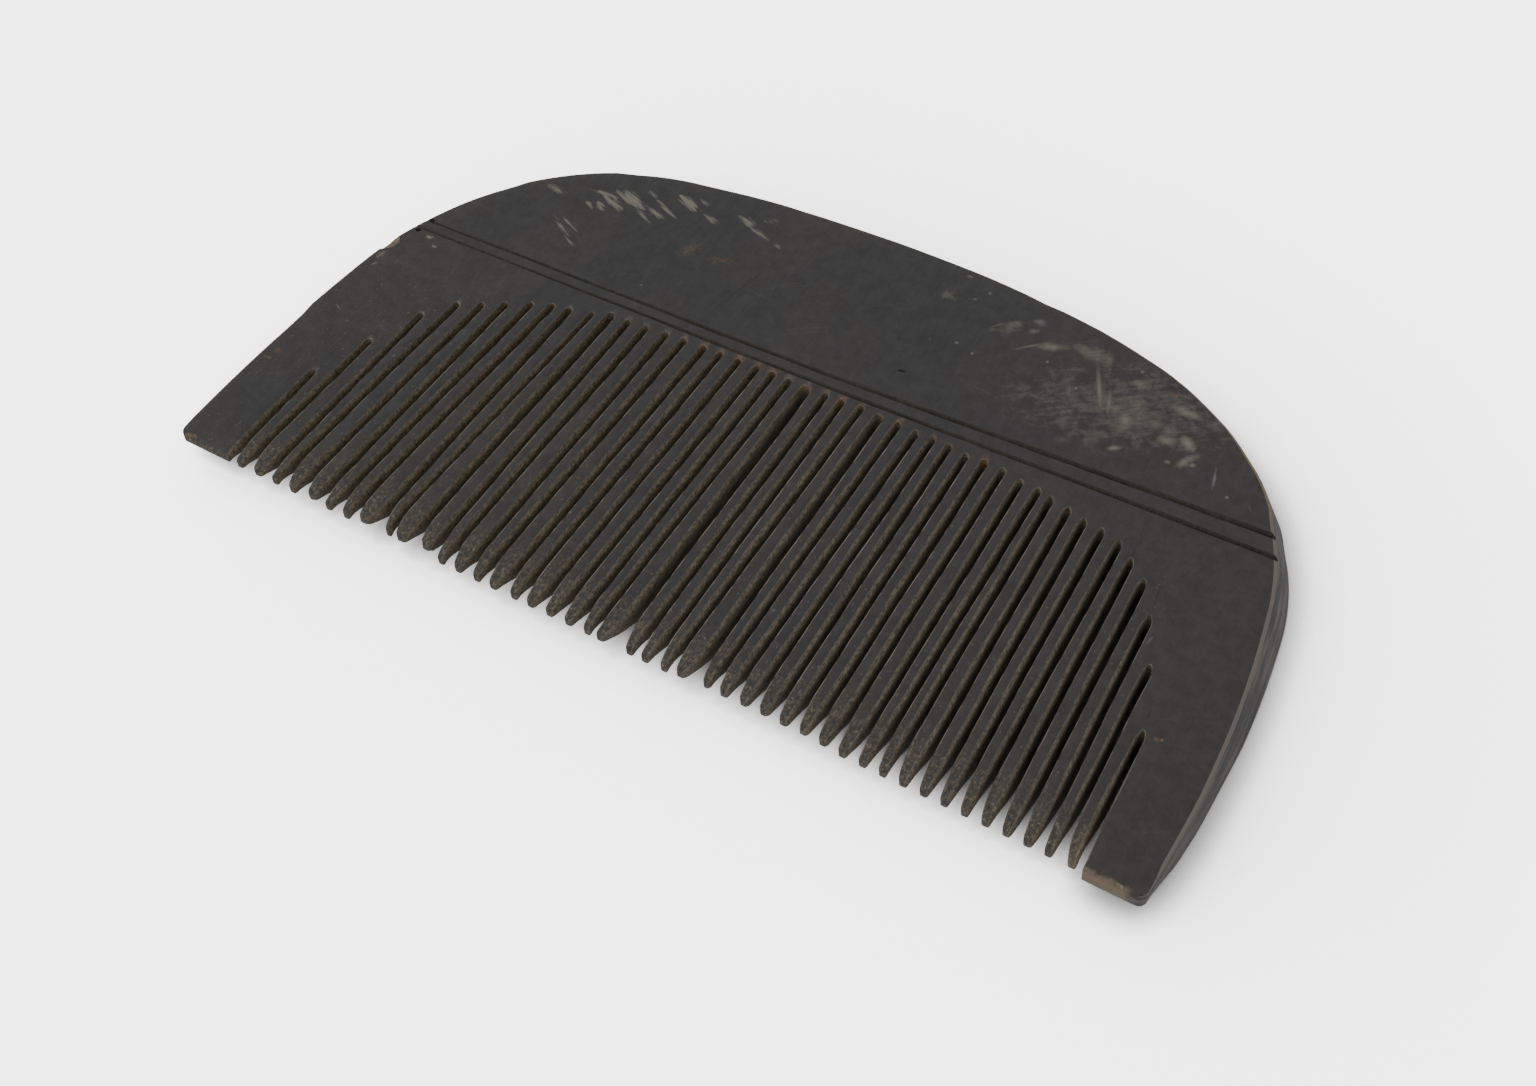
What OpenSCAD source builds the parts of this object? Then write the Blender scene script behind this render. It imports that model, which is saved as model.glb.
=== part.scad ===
// Semicircular hair comb, sawn and filed by hand from one flat board of dark wood.
// It lies on its sole with the scored face up, the tips towards -Y and the curved back towards +Y.
// Inside the modules Y is measured from the line of the tips and Z from the sole.

/* [Board] */
// Width over the two guard teeth
comb_w = 116.4; // [114:0.1:119]
// Height from the line of the tips to the top of the back, in the middle
comb_h = 62.7; // [61:0.1:64]
// Thickness of the board
board_t = 5; // [4:0.1:6]
// Radius of the flat crown of the back
crown_r = 158; // [150:1:166]
// Angle that the crown takes up on each side of the middle
crown_angle = 10.4; // [9.6:0.1:11.2]
// Radius of the two shoulders
shoulder_r = 33; // [30:0.5:34]
// Radius of the gently bowed left side, between the shoulder and the tips
left_side_r = 194; // [120:1:250]
// Radius of the right side of the face
right_side_r = 133; // [110:1:250]
// Width of the bevel that stands for the worn rim, above and below
rim = 0.3; // [0.2:0.1:0.8]
// Rounding of the outer corners of the guard teeth
corner_r = 1.1; // [0.5:0.1:2]
// How far the face stays inside the sole at the left side
left_slope = 0.25; // [0.1:0.05:0.6]

/* [Filed right side] */
// How far the face draws back from the full width at the right corner
face_inset = 0.6; // [0.4:0.05:1]
// How far the sole draws back from the full width at the right corner
sole_inset = 0.95; // [0.6:0.05:1.2]
// Angle that the right half of the crown takes up on the sole
sole_crown_angle = 12.2; // [11.8:0.1:13.4]
// Radius of the right shoulder on the sole, which stands out from under the face
sole_shoulder_r = 30; // [28.5:0.5:31]
// Radius of the right side on the sole
sole_side_r = 119; // [100:1:180]

/* [Saw cuts] */
// Number of saw cuts
cuts = 45; // [35:2:55]
// Distance from the first cut to the last, along a line low on the teeth
cuts_span = 100.4; // [98:0.1:102]
// Extra shift to the right in the middle, because the spacing closes up from left to right
spacing_drift = 1.65; // [0:0.05:2]
// Height of the line on which the cuts are set out
set_out_y = 12; // [10:1:14]
// Width of a cut at its root
kerf_root = 0.72; // [0.5:0.02:0.9]
// Width of a cut low on the teeth
kerf_low = 0.98; // [0.7:0.02:1.1]
// How far the outermost cuts lean outwards, in degrees
fan = 3.2; // [0:0.1:4]

/* [Arch of the roots] */
// Height of the root of the middle cut
root_top = 38.8; // [36:0.1:39]
// Gentle fall of the roots from the middle to the ends
arch_sag = 6.4; // [4:0.1:8]
// Steep fall of the last few roots
arch_drop = 17; // [14:0.5:18]
// How much higher than the middle the roots run at the right end, and lower at the left
arch_tilt = 0.4; // [0:0.1:1]

/* [Tips] */
// How far the line of the tips runs down to the right, in degrees
tip_skew = 0.5; // [0:0.1:1]
// Length over which a tooth narrows to its tip
taper_len = 4.5; // [3:0.1:6]
// Width of a tip
tip_w = 0.5; // [0.4:0.05:0.8]
// How far the face falls towards the tips
face_fall = 0.4; // [0.2:0.05:0.6]
// Length over which the sole rises towards the tips
relief_len = 9.5; // [7:0.5:12]
// Thickness of the teeth and of the left guard at their ends
tip_t = 1.1; // [0.8:0.1:1.4]
// Thickness of the right guard at its end
guard_t = 2.2; // [1.5:0.1:2.6]

/* [Scored lines] */
// Width of a scored line
score_w = 0.55; // [0.3:0.05:0.8]
// Depth of a scored line
score_d = 0.35; // [0.2:0.05:0.6]
// Height of the lower line in the middle
lower_line_y = 39.55; // [39.4:0.05:40.5]
// Height of the upper line in the middle
upper_line_y = 41.1; // [40.8:0.1:43]

/* [Hidden] */

half_w = comb_w / 2;
drop = half_w * tan(tip_skew);
mid_y = (comb_h - drop) / 2;
over = 3;

// Cuts that wander off the rule: number, shift to the right, extra lean in degrees, extra width, and how
// much lower the root lies
CUT = 0;
SHIFT = 1;
LEAN = 2;
WIDER = 3;
LOWER = 4;
wandering_cuts = [
    [1, 0, -1.5, 0, 0],
    [2, -0.1, 0, 0, 1],
    [3, 0.2, -0.8, 0, 0],
    [4, -0.2, 1, 0, 0],
    [5, 0, 0.7, 0, 0.9],
    [6, 0.2, 0, 0, 1],
    [7, 0, 0.9, 0, 0.6],
    [8, -0.2, 1.2, 0, 0.4],
    [9, 0.25, -0.5, 0.1, 0.5],
    [10, -0.2, 1.3, -0.2, 0.3],
    [11, 0.1, 0, 0.2, -0.3],
    [12, 0.35, -0.8, 0, 0],
    [14, 0.25, 0, 0, 0],
    [15, 0, 0.5, 0, 0],
    [16, 0.3, 0.4, 0, 0],
    [17, 0.1, 0.5, 0, 0],
    [18, 0.2, 0.4, 0, 0],
    [19, 0.2, 0.6, 0, 0],
    [20, 0.1, 0.3, 0, 0],
    [21, -0.25, 0.7, 0, 0],
    [22, 0.15, -0.1, 0.5, 0.2],
    [23, 0.2, 0, 0, 0],
    [25, -0.3, 0.8, 0, -0.2],
    [26, 0.1, 0.2, 0.3, 0],
    [27, 0, 0.7, 0, 0],
    [28, 0, 0.8, 0, 0.2],
    [29, 0, 0.4, 0, 0],
    [31, 0, 0, 0, 0.3],
    [34, 0.15, 0, 0, 0.3],
    [35, 0, 0.4, 0, 0.2],
    [36, -0.3, 0, 0, 0.3],
    [37, -0.1, -0.4, 0, 0.3],
    [38, -0.1, -0.6, 0, 0.4],
    [39, -0.15, -0.4, 0, 0],
    [40, -0.2, 0, 0, -0.4],
    [41, -0.15, -0.6, 0, -0.3],
    [42, -0.1, -0.6, 0, -0.6],
    [43, 0, -0.8, 0, 0],
    [44, -0.1, 0, 0, 0.4],
];

// Teeth whose tips stand off the even spacing: number, shift to the right
tip_shifts = [
    [8, -0.4],
    [9, 0.8],
    [10, -0.2],
    [11, 0.5],
    [12, 0.5],
    [13, 0.3],
    [14, 0.3],
    [16, 0.3],
    [21, -0.8],
    [22, 0.5],
    [25, -0.5],
    [26, 0.3],
    [44, 0.3],
];

// Scored strokes: left end, right end, and how far each runs up to the right per mm of its length
lower_strokes = [[-62, 0.2, 0.015], [0, 62, 0.0255]];
upper_strokes = [[-62, 0.3, 0.018], [0, 62, 0.044]];

// Place of cut i between the first, at -1, and the last, at 1
function across(i) = (2 * i - cuts - 1) / (cuts - 1);

function wander(i, column) =
    let (rows = [for (row = wandering_cuts) if (row[CUT] == i) row[column]])
    len(rows) > 0 ? rows[0] : 0;

function tip_shift(k) =
    let (rows = [for (row = tip_shifts) if (row[0] == k) row[1]])
    len(rows) > 0 ? rows[0] : 0;

// Where cut i would run at height y if all were evenly spaced and fanned
function ruled_x(i, y) =
    cuts_span / 2 * across(i) + spacing_drift * (1 - pow(across(i), 2)) - 0.12
    - tan(fan * across(i)) * (y - set_out_y);

// Middle line of cut i at height y
function cut_x(i, y) = ruled_x(i, y) + wander(i, SHIFT) + tan(wander(i, LEAN)) * (y - set_out_y);

function root_y(i) =
    let (a = abs(across(i)))
    root_top - arch_sag * pow(a, 3) - arch_drop * pow(a, 11) + arch_tilt * across(i) - wander(i, LOWER);

// Half the width of cut i at height y, above the tapers
function half_kerf(i, y) =
    let (up = max(0, (y - taper_len) / (root_top - taper_len)))
    (kerf_low + (kerf_root - kerf_low) * up + wander(i, WIDER)) / 2;

// Height of the line of the tips at cut i
function tip_y(i) = -cut_x(i, 0) * tan(tip_skew);

// Share of the way from the full width of a tooth to its tip, at height h above the line of the tips
function narrowing(h) = h < taper_len ? pow(1 - max(0, h) / taper_len, 2) : 0;

// Middle of the tip of tooth k, which stands between cuts k and k + 1
function tip_x(k) = ruled_x(k + 0.5, 0) + 0.2 + tip_shift(k);

// The left wall of cut i is the right side of tooth i - 1, and its right wall the left side of tooth i
function left_wall(i, y) =
    let (plain = cut_x(i, y) - half_kerf(i, y), b = i > 1 ? narrowing(y - tip_y(i)) : 0)
    plain * (1 - b) + (tip_x(max(1, i - 1)) + tip_w / 2) * b;

function right_wall(i, y) =
    let (plain = cut_x(i, y) + half_kerf(i, y), b = i < cuts ? narrowing(y - tip_y(i)) : 0)
    plain * (1 - b) + (tip_x(min(cuts - 1, i)) - tip_w / 2) * b;

function cut_outline(i) =
    let (
        top = root_y(i),
        r = half_kerf(i, top),
        rounding = [[0.55, 0.4], [0.9, 1], [1, 2]],
        levels = [for (share = [1, 0.67, 0.33, 0.12, 0]) tip_y(i) + share * taper_len],
        right = concat([for (c = rounding) [cut_x(i, top) + c[0] * r, top - c[1] * r]],
            [for (y = levels) [right_wall(i, y), y]], [[right_wall(i, tip_y(i)), -over]]),
        left = concat([for (c = rounding) [cut_x(i, top) - c[0] * r, top - c[1] * r]],
            [for (y = levels) [left_wall(i, y), y]], [[left_wall(i, tip_y(i)), -over]])
    )
    concat([[cut_x(i, top), top]], right, [for (n = [len(left) - 1:-1:0]) left[n]]);

// Right half of a D outline from the top of the crown to the tips: crown arc, shoulder arc, a side arc
// that touches the shoulder arc and runs to base, and the rounded corner; all drawn in by inset
function half_outline(base, turn, r, long_r, inset) =
    let (
        crown_c = [0, comb_h - crown_r],
        shoulder_c = crown_c + (crown_r - r) * [sin(turn), cos(turn)],
        gap = shoulder_c - base,
        along = (pow(long_r, 2) - pow(long_r - r, 2) + gap * gap) / (2 * norm(gap)),
        aside = sqrt(pow(long_r, 2) - pow(along, 2)),
        side_c = base + (along * gap + aside * [-gap[1], gap[0]]) / norm(gap),
        meet = atan2(shoulder_c[0] - side_c[0], shoulder_c[1] - side_c[1]),
        last = acos((base[1] + inset + corner_r - side_c[1]) / (long_r - inset)),
        corner_c = side_c + (long_r - inset) * [sin(last), cos(last)] - [corner_r, 0]
    )
    concat(
        [for (n = [0:3]) crown_c + (crown_r - inset) * [sin(turn * n / 4), cos(turn * n / 4)]],
        [for (n = [0:16])
            let (a = turn + (meet - turn) * n / 16)
            shoulder_c + (r - inset) * [sin(a), cos(a)]],
        [for (n = [1:5])
            let (a = meet + (last - meet) * n / 5)
            side_c + (long_r - inset) * [sin(a), cos(a)]],
        [for (n = [1:4]) corner_c + corner_r * [sin(90 + 22.5 * n), cos(90 + 22.5 * n)]]
    );

function mirrored(points) = [for (n = [len(points) - 1:-1:1]) [-points[n][0], points[n][1]]];

// Outline of the face, or of the sole, as a ring of points at height z
function face_ring(z, inset) =
    let (
        base = [half_w - face_inset, -drop],
        right = half_outline(base, crown_angle, shoulder_r, right_side_r, inset),
        left = half_outline([half_w - left_slope, drop], crown_angle, shoulder_r, left_side_r, inset)
    )
    [for (p = concat(right, mirrored(left))) [p[0], p[1], z]];

function sole_ring(z, inset) =
    let (
        base = [half_w - sole_inset, -drop],
        right = half_outline(base, sole_crown_angle, sole_shoulder_r, sole_side_r, inset),
        left = half_outline([half_w, drop], crown_angle, shoulder_r, left_side_r, inset)
    )
    [for (p = concat(right, mirrored(left))) [p[0], p[1], z]];

// The board before sawing: four rings of points, with a skin between each ring and the next
module blank() {
    rings = [sole_ring(0, rim), sole_ring(rim, 0), face_ring(board_t - rim, 0), face_ring(board_t, rim)];
    n = len(rings[0]);
    skin = [for (k = [0:2], i = [0:n - 1])
        let (a = k * n + i, b = k * n + (i + 1) % n)
        each [[a, b, b + n], [a, b + n, a + n]]];
    polyhedron(
        points = [for (ring = rings) each ring],
        faces = concat([[for (i = [n - 1:-1:0]) i]], [[for (i = [0:n - 1]) 3 * n + i]], skin)
    );
}

// A bar along the line of the tips, from one x to another, with the given section in Y and Z
module along_tips(from_x, to_x, section) {
    rotate([0, 0, -tip_skew])
        translate([from_x, 0, 0])
            rotate([90, 0, 90])
                linear_extrude(to_x - from_x)
                    polygon(section);
}

// What is filed off the sole, so that the ends are only end_t thick
module sole_relief(from_x, to_x, end_t) {
    rise = board_t - face_fall - end_t;
    curve = [for (n = [0:8]) [relief_len * n / 8, rise * (1 + cos(180 * n / 8)) / 2]];
    along_tips(from_x, to_x, concat([[-over, rise]], curve, [[relief_len, -over], [-over, -over]]));
}

// What is worn off the face towards the tips
module face_relief() {
    level = board_t - face_fall;
    curve = [for (n = [0:4]) [taper_len * n / 4, level + face_fall * (1 - pow(1 - n / 4, 2))]];
    along_tips(-half_w - over, half_w + over,
        concat([[-over, level]], curve, [[taper_len, board_t + over], [-over, board_t + over]]));
}

module saw_cut(i) {
    translate([0, 0, -over])
        linear_extrude(board_t + 2 * over)
            polygon(cut_outline(i));
}

// One straight stroke of a V-shaped scored line, set out from the height y0 at the middle of the comb
module stroke(row, y0) {
    slope = atan(row[2]);
    translate([row[0], y0 + row[2] * row[0], board_t])
        rotate([0, 0, slope])
            rotate([90, 0, 90])
                linear_extrude((row[1] - row[0]) / cos(slope))
                    polygon([[-score_w, score_d], [score_w, score_d], [0, -score_d]]);
}

module scored_lines() {
    for (row = lower_strokes)
        stroke(row, lower_line_y);
    for (row = upper_strokes)
        stroke(row, upper_line_y);
}

// Small chip broken out of the left edge, just below the scored lines
module edge_chip() {
    translate([-half_w + 3.4, 36.2, board_t])
        rotate([0, 0, -25])
            cube([1.6, 1.3, 2.4], center = true);
}

module comb() {
    guard_x = cut_x(cuts, 0);
    color([0.16, 0.15, 0.14])
        translate([0, -mid_y, 0])
            difference() {
                blank();
                sole_relief(-half_w - over, guard_x, tip_t);
                sole_relief(guard_x, half_w + over, guard_t);
                face_relief();
                for (i = [1:cuts])
                    saw_cut(i);
                scored_lines();
                edge_chip();
            }
}

comb();
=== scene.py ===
"""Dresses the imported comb: the sawn and filed board, the dust in its roots, and the stage."""

import math
from types import SimpleNamespace

import bpy
from bpy.props import FloatProperty, FloatVectorProperty, IntProperty, PointerProperty
from bpy.types import Operator, Panel, PropertyGroup
from mathutils import Matrix, Vector, noise


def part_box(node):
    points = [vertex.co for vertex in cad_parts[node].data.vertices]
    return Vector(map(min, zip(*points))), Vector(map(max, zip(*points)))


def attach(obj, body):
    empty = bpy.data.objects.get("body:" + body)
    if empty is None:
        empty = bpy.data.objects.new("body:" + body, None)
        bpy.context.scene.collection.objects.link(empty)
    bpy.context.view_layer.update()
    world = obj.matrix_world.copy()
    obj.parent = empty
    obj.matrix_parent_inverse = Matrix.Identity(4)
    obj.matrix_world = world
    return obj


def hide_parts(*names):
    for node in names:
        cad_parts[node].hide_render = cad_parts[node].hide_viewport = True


bl_info = {
    "name": "Semicircular comb",
    "version": (1, 0, 0),
    "blender": (4, 5, 0),
    "location": "3D View > Sidebar > Comb",
    "description": "Models and finishes a hand-sawn comb of dark wood round its packed frame",
    "category": "Object",
}

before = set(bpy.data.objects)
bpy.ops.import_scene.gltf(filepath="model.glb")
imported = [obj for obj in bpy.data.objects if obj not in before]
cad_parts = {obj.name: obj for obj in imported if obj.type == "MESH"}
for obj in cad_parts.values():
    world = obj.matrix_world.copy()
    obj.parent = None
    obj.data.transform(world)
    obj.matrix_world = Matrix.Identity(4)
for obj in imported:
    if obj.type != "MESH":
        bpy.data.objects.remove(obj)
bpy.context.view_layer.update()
LOW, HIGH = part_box("comb")

# The board is modelled in millimetres, with Y from the line of the tips, and made metres at the end
MM = 0.001

# Material slots of the wood, in the order of the materials' names
FACE, WALL, ARRIS, SAWN, SCORED, BROKEN, RIM = range(7)

# Cuts that wander off the rule: shift to the right, extra lean in degrees, extra width, lower root
WANDERING_CUTS = {
    1: (0, -1.5, 0, 0), 2: (-0.1, 0, 0, 1), 3: (0.2, -0.8, 0, 0), 4: (-0.2, 1, 0, 0),
    5: (0, 0.7, 0, 0.9), 6: (0.2, 0, 0, 1), 7: (0, 0.9, 0, 0.6), 8: (-0.2, 1.2, 0, 0.4),
    9: (0.25, -0.5, 0.1, 0.5), 10: (-0.2, 1.3, -0.2, 0.3), 11: (0.1, 0, 0.2, -0.3),
    12: (0.35, -0.8, 0, 0), 14: (0.25, 0, 0, 0), 15: (0, 0.5, 0, 0), 16: (0.3, 0.4, 0, 0),
    17: (0.1, 0.5, 0, 0), 18: (0.2, 0.4, 0, 0), 19: (0.2, 0.6, 0, 0), 20: (0.1, 0.3, 0, 0),
    21: (-0.25, 0.7, 0, 0), 22: (0.15, -0.1, 0.5, 0.2), 23: (0.2, 0, 0, 0),
    25: (-0.3, 0.8, 0, -0.2), 26: (0.1, 0.2, 0.3, 0), 27: (0, 0.7, 0, 0), 28: (0, 0.8, 0, 0.2),
    29: (0, 0.4, 0, 0), 31: (0, 0, 0, 0.3), 34: (0.15, 0, 0, 0.3), 35: (0, 0.4, 0, 0.2),
    36: (-0.3, 0, 0, 0.3), 37: (-0.1, -0.4, 0, 0.3), 38: (-0.1, -0.6, 0, 0.4),
    39: (-0.15, -0.4, 0, 0), 40: (-0.2, 0, 0, -0.4), 41: (-0.15, -0.6, 0, -0.3),
    42: (-0.1, -0.6, 0, -0.6), 43: (0, -0.8, 0, 0), 44: (-0.1, 0, 0, 0.4),
}

# Teeth whose tips stand off the even spacing: shift to the right
TIP_SHIFTS = {8: -0.4, 9: 0.8, 10: -0.2, 11: 0.5, 12: 0.5, 13: 0.3, 14: 0.3, 16: 0.3, 21: -0.8,
              22: 0.5, 25: -0.5, 26: 0.3, 44: 0.3}

# Teeth worn shorter than the rest: by how much
SHORT_TIPS = {5: 0.3, 8: 0.45, 9: 0.3, 10: 0.35, 11: 0.8, 25: 0.25, 26: 0.45, 27: 0.35, 28: 0.45,
              29: 0.45, 30: 0.35, 31: 0.4, 32: 0.25}

# Where the rim was filed fuller or barer than its arcs: x, y, how much farther out
RIM_WANDER = [
    (-40, 56, 0.33), (-44, 53.5, 0.3), (-50, 45, 0.05), (-53, 39, 0), (-55, 36.9, 0.3),
    (-56, 33, 0.4), (-57, 26, 0.35), (-57, 13, 0), (-58, 8, 0), (58, 14, 0.08), (57.5, 20, 0.15),
    (57, 27, 0.15), (55.6, 33, 0.12), (53.5, 40, 0.12), (49, 49.5, 0.3), (44, 53, 0),
    (37, 57, -0.18), (33, 59, -0.15), (22, 61, 0.2), (11, 62, 0.15), (2, 63, 0.05), (-6, 62, -0.05),
    (-20, 61, 0.12), (-30, 59, 0.1),
]


def read(group):
    """The values of a property group by name, with its lengths in millimetres."""
    values = {}
    for prop in group.bl_rna.properties:
        if prop.identifier not in ("rna_type", "name"):
            value = getattr(group, prop.identifier)
            values[prop.identifier] = value / MM if prop.unit == "LENGTH" else value
    return SimpleNamespace(**values)


def length(name, description, default):
    """A length, given in millimetres and kept in metres."""
    return FloatProperty(name=name, description=description, default=default * MM,
                         unit="LENGTH", subtype="DISTANCE", precision=5)


def degrees(name, description, default):
    """An angle, given in degrees and kept in radians."""
    return FloatProperty(name=name, description=description, default=math.radians(default),
                         unit="ROTATION", subtype="ANGLE")


def colour(name, description, default):
    """An opaque colour."""
    return FloatVectorProperty(name=name, description=description, default=(*default, 1.0),
                               size=4, min=0.0, max=1.0, subtype="COLOR")


class BoardSizes(PropertyGroup):
    """Outline and thickness of the board."""
    comb_w: length("Width", "Width over the two guard teeth", 116.4)
    comb_h: length("Height", "Height from the line of the tips to the top of the back", 62.7)
    board_t: length("Thickness", "Thickness of the board", (HIGH.z - LOW.z) / MM)
    crown_r: length("Crown radius", "Radius of the flat crown of the back", 158)
    crown_angle: degrees("Crown angle", "Angle of the crown on each side of the middle", 10.4)
    shoulder_r: length("Shoulder radius", "Radius of the two shoulders", 33)
    left_side_r: length("Left side radius", "Radius of the bowed left side", 194)
    right_side_r: length("Right side radius", "Radius of the right side of the face", 133)
    rim: length("Rim wear", "Width of the worn rim, above and below", 0.33)
    corner_r: length("Corner radius", "Rounding of the outer corners of the guards", 1.1)
    left_slope: length("Left slope", "How far the face stays inside the sole at the left", 0.25)
    face_inset: length("Face inset", "How far the face draws back at the right corner", 0.6)
    sole_inset: length("Sole inset", "How far the sole draws back at the right corner", 0.95)
    sole_crown_angle: degrees("Sole crown angle", "Angle of the crown's right half below", 12.2)
    sole_shoulder_r: length("Sole shoulder", "Radius of the right shoulder on the sole", 30)
    sole_side_r: length("Sole side", "Radius of the right side on the sole", 119)


class CutSizes(PropertyGroup):
    """Saw cuts, roots, tips and scored lines."""
    cuts: IntProperty(name="Cuts", description="Number of saw cuts", default=45, min=3, max=59)
    cuts_span: length("Span", "Distance from the first cut to the last, low on the teeth", 100.4)
    spacing_drift: length("Drift", "Extra shift to the right in the middle", 1.65)
    set_out_y: length("Setting-out line", "Height of the line the cuts are set out on", 12)
    kerf_root: length("Kerf at root", "Width of a cut at its root", 0.72)
    kerf_low: length("Kerf below", "Width of a cut low on the teeth", 0.98)
    fan: degrees("Fan", "How far the outermost cuts lean outwards", 3.2)
    root_top: length("Root height", "Height of the root of the middle cut", 38.8)
    arch_sag: length("Arch sag", "Gentle fall of the roots towards the ends", 6.4)
    arch_drop: length("Arch drop", "Steep fall of the last few roots", 17)
    arch_tilt: length("Arch tilt", "How much higher the roots run at the right end", 0.4)
    tip_skew: degrees("Tip skew", "How far the line of the tips runs down to the right", 0.5)
    taper_len: length("Taper", "Length over which a tooth narrows to its tip", 4.5)
    left_taper: length("Left taper", "Length over which a tooth's left side turns in", 4.3)
    right_taper: length("Right taper", "Length over which a tooth's right side turns in", 2.9)
    blunt_w: length("Blunt width", "Width of a tip above its rounding", 0.86)
    saw_drift: length("Saw drift", "How much farther right the cuts' right walls run high up", 0.18)
    fill_in: length("Fill in", "How far the cuts' left walls stand into the cuts", 0.06)
    face_fall: length("Face fall", "How far the face falls towards the tips", 0.4)
    relief_len: length("Relief", "Length over which the sole rises towards the tips", 9.5)
    tip_t: length("Tip thickness", "Thickness of the teeth at their ends", 1.1)
    guard_t: length("Guard thickness", "Thickness of the right guard at its end", 2.2)
    score_w: length("Line width", "Width of a scored line", 0.55)
    score_d: length("Line depth", "Depth of a scored line", 0.35)
    lower_line_y: length("Lower line", "Height of the lower scored line in the middle", 39.55)
    upper_line_y: length("Upper line", "Height of the upper scored line in the middle", 41.1)
    crisp_arris: length("Left arris", "Rounding of the left edges of the teeth", 0.11)
    worn_arris: length("Right arris", "Rounding of the right edges of the teeth", 0.34)
    flank: length("Flank", "How far down the worn right edges of the teeth reach", 0.95)
    nose: length("Nose", "Rounding of the ends of the teeth", 0.6)


class WoodFinish(PropertyGroup):
    """Colours of the wood and of what lies on it."""
    dark: colour("Wood", "Cool dark colour of the polished face", (0.0300, 0.0284, 0.0290))
    brown: colour("Brown wood", "Warmer patches of the face", (0.0374, 0.0328, 0.0298))
    sawn: colour("Sawn wood", "Walls of the cuts", (0.132, 0.114, 0.086))
    grey_sawn: colour("Grey sawn wood", "Walls of the cuts at the right", (0.190, 0.172, 0.148))
    # Deep wood: the dark saw-stroke colour of the cuts' walls low down, which paints their shade
    deep: colour("Deep wood", "Dark strokes of the saw", (0.09, 0.076, 0.057))
    filed: colour("Filed wood", "Worn ends of the teeth", (0.100, 0.083, 0.060))
    # Edge colour: partly pale wear, partly a painted highlight along the lit left edges of the
    # teeth; the grains of the worn tips and the crumbs use it too
    edge: colour("Edge", "Pale worn edges of the teeth", (0.30, 0.27, 0.22))
    facet: colour("Facet", "Filed facet of the right side", (0.150, 0.132, 0.116))
    tan: colour("Tan wood", "Bare wood at broken and filed edges", (0.26, 0.188, 0.122))
    gold: colour("Golden edge", "Thin worn rim of the back", (0.22, 0.15, 0.075))
    rubbed: colour("Rubbed marks", "Pale greyish rubbed marks", (0.215, 0.20, 0.16))
    dust: colour("Dust", "Orange dust in the roots", (0.22, 0.105, 0.045))
    fleck: colour("Flecks", "Pale flecks on the worn ends of the teeth", (0.42, 0.38, 0.30))
    nick: colour("Nicks", "Thin dark scratches of the face", (0.016, 0.014, 0.012))
    scored: colour("Scored wood", "Scored lines and small nicks", (0.024, 0.020, 0.016))
    scored_pore: colour("Scored pores", "Pores of the scored lines", (0.045, 0.037, 0.029))


class StageLook(PropertyGroup):
    """Floor, light and camera."""
    floor: colour("Floor", "Colour of the floor", (0.80, 0.80, 0.80))
    glow: FloatProperty(name="Glow", description="Brightness of the paper as the camera sees it",
                        default=4.6)
    # The two reaches below set the painted shadow that darkens the paper's glow
    shade_reach: length("Shade reach", "How far the comb shades the paper round it", 30)
    contact: length("Contact shade", "Reach of the deep shade close under the comb", 3.4)
    key: FloatProperty(name="Key light", description="Power of the large soft light", default=5.0)
    fill: FloatProperty(name="Fill light", description="Strength of the even light all round",
                        default=0.7)
    lens: FloatProperty(name="Lens", description="Focal length of the camera in mm",
                        default=51.55, unit="CAMERA")
    azimuth: degrees("Azimuth", "Where the camera stands round the comb", 34.52)
    elevation: degrees("Elevation", "Height of the camera above the horizon", 52.36)
    roll: degrees("Roll", "Roll of the camera", -4.82)


# Shape of the comb, in millimetres
SET_LEFT = 0.12  # how far left the row of cuts was set out
TIP_LEAN = 0.2  # how far right of the middle between two cuts a tip stands
TIP_HALF_W = 0.12  # half the width of a tooth's very end
ROUND_END = 1.8  # length of a cut's rounded end, in half kerfs
POINT_EXTRA = 1.6  # how much longer the pointed ends at the right are, in half kerfs
SWERVE = 0.06  # how far the saw swerves
WEAR_LEN = 9  # how far below the root the edge of a tooth is fully worn
SINK = 0.07  # how far the face of a tooth may lie under that of the board
TILT = 0.05  # how steeply the face of a tooth may lean
SWELL = 0.045  # depth of the broad swells of the face
NOSE_FALL = 0.3  # how far a tip is rounded off above and below


def ramp(value, start, end):
    """0 at the start, 1 at the end and beyond it, and straight between."""
    return min(1, max(0, (value - start) / (end - start)))


def wave(x, y, z=0):
    """Smooth noise from -1 to 1, the same each run."""
    return noise.noise(Vector((x, y, z)))


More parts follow.
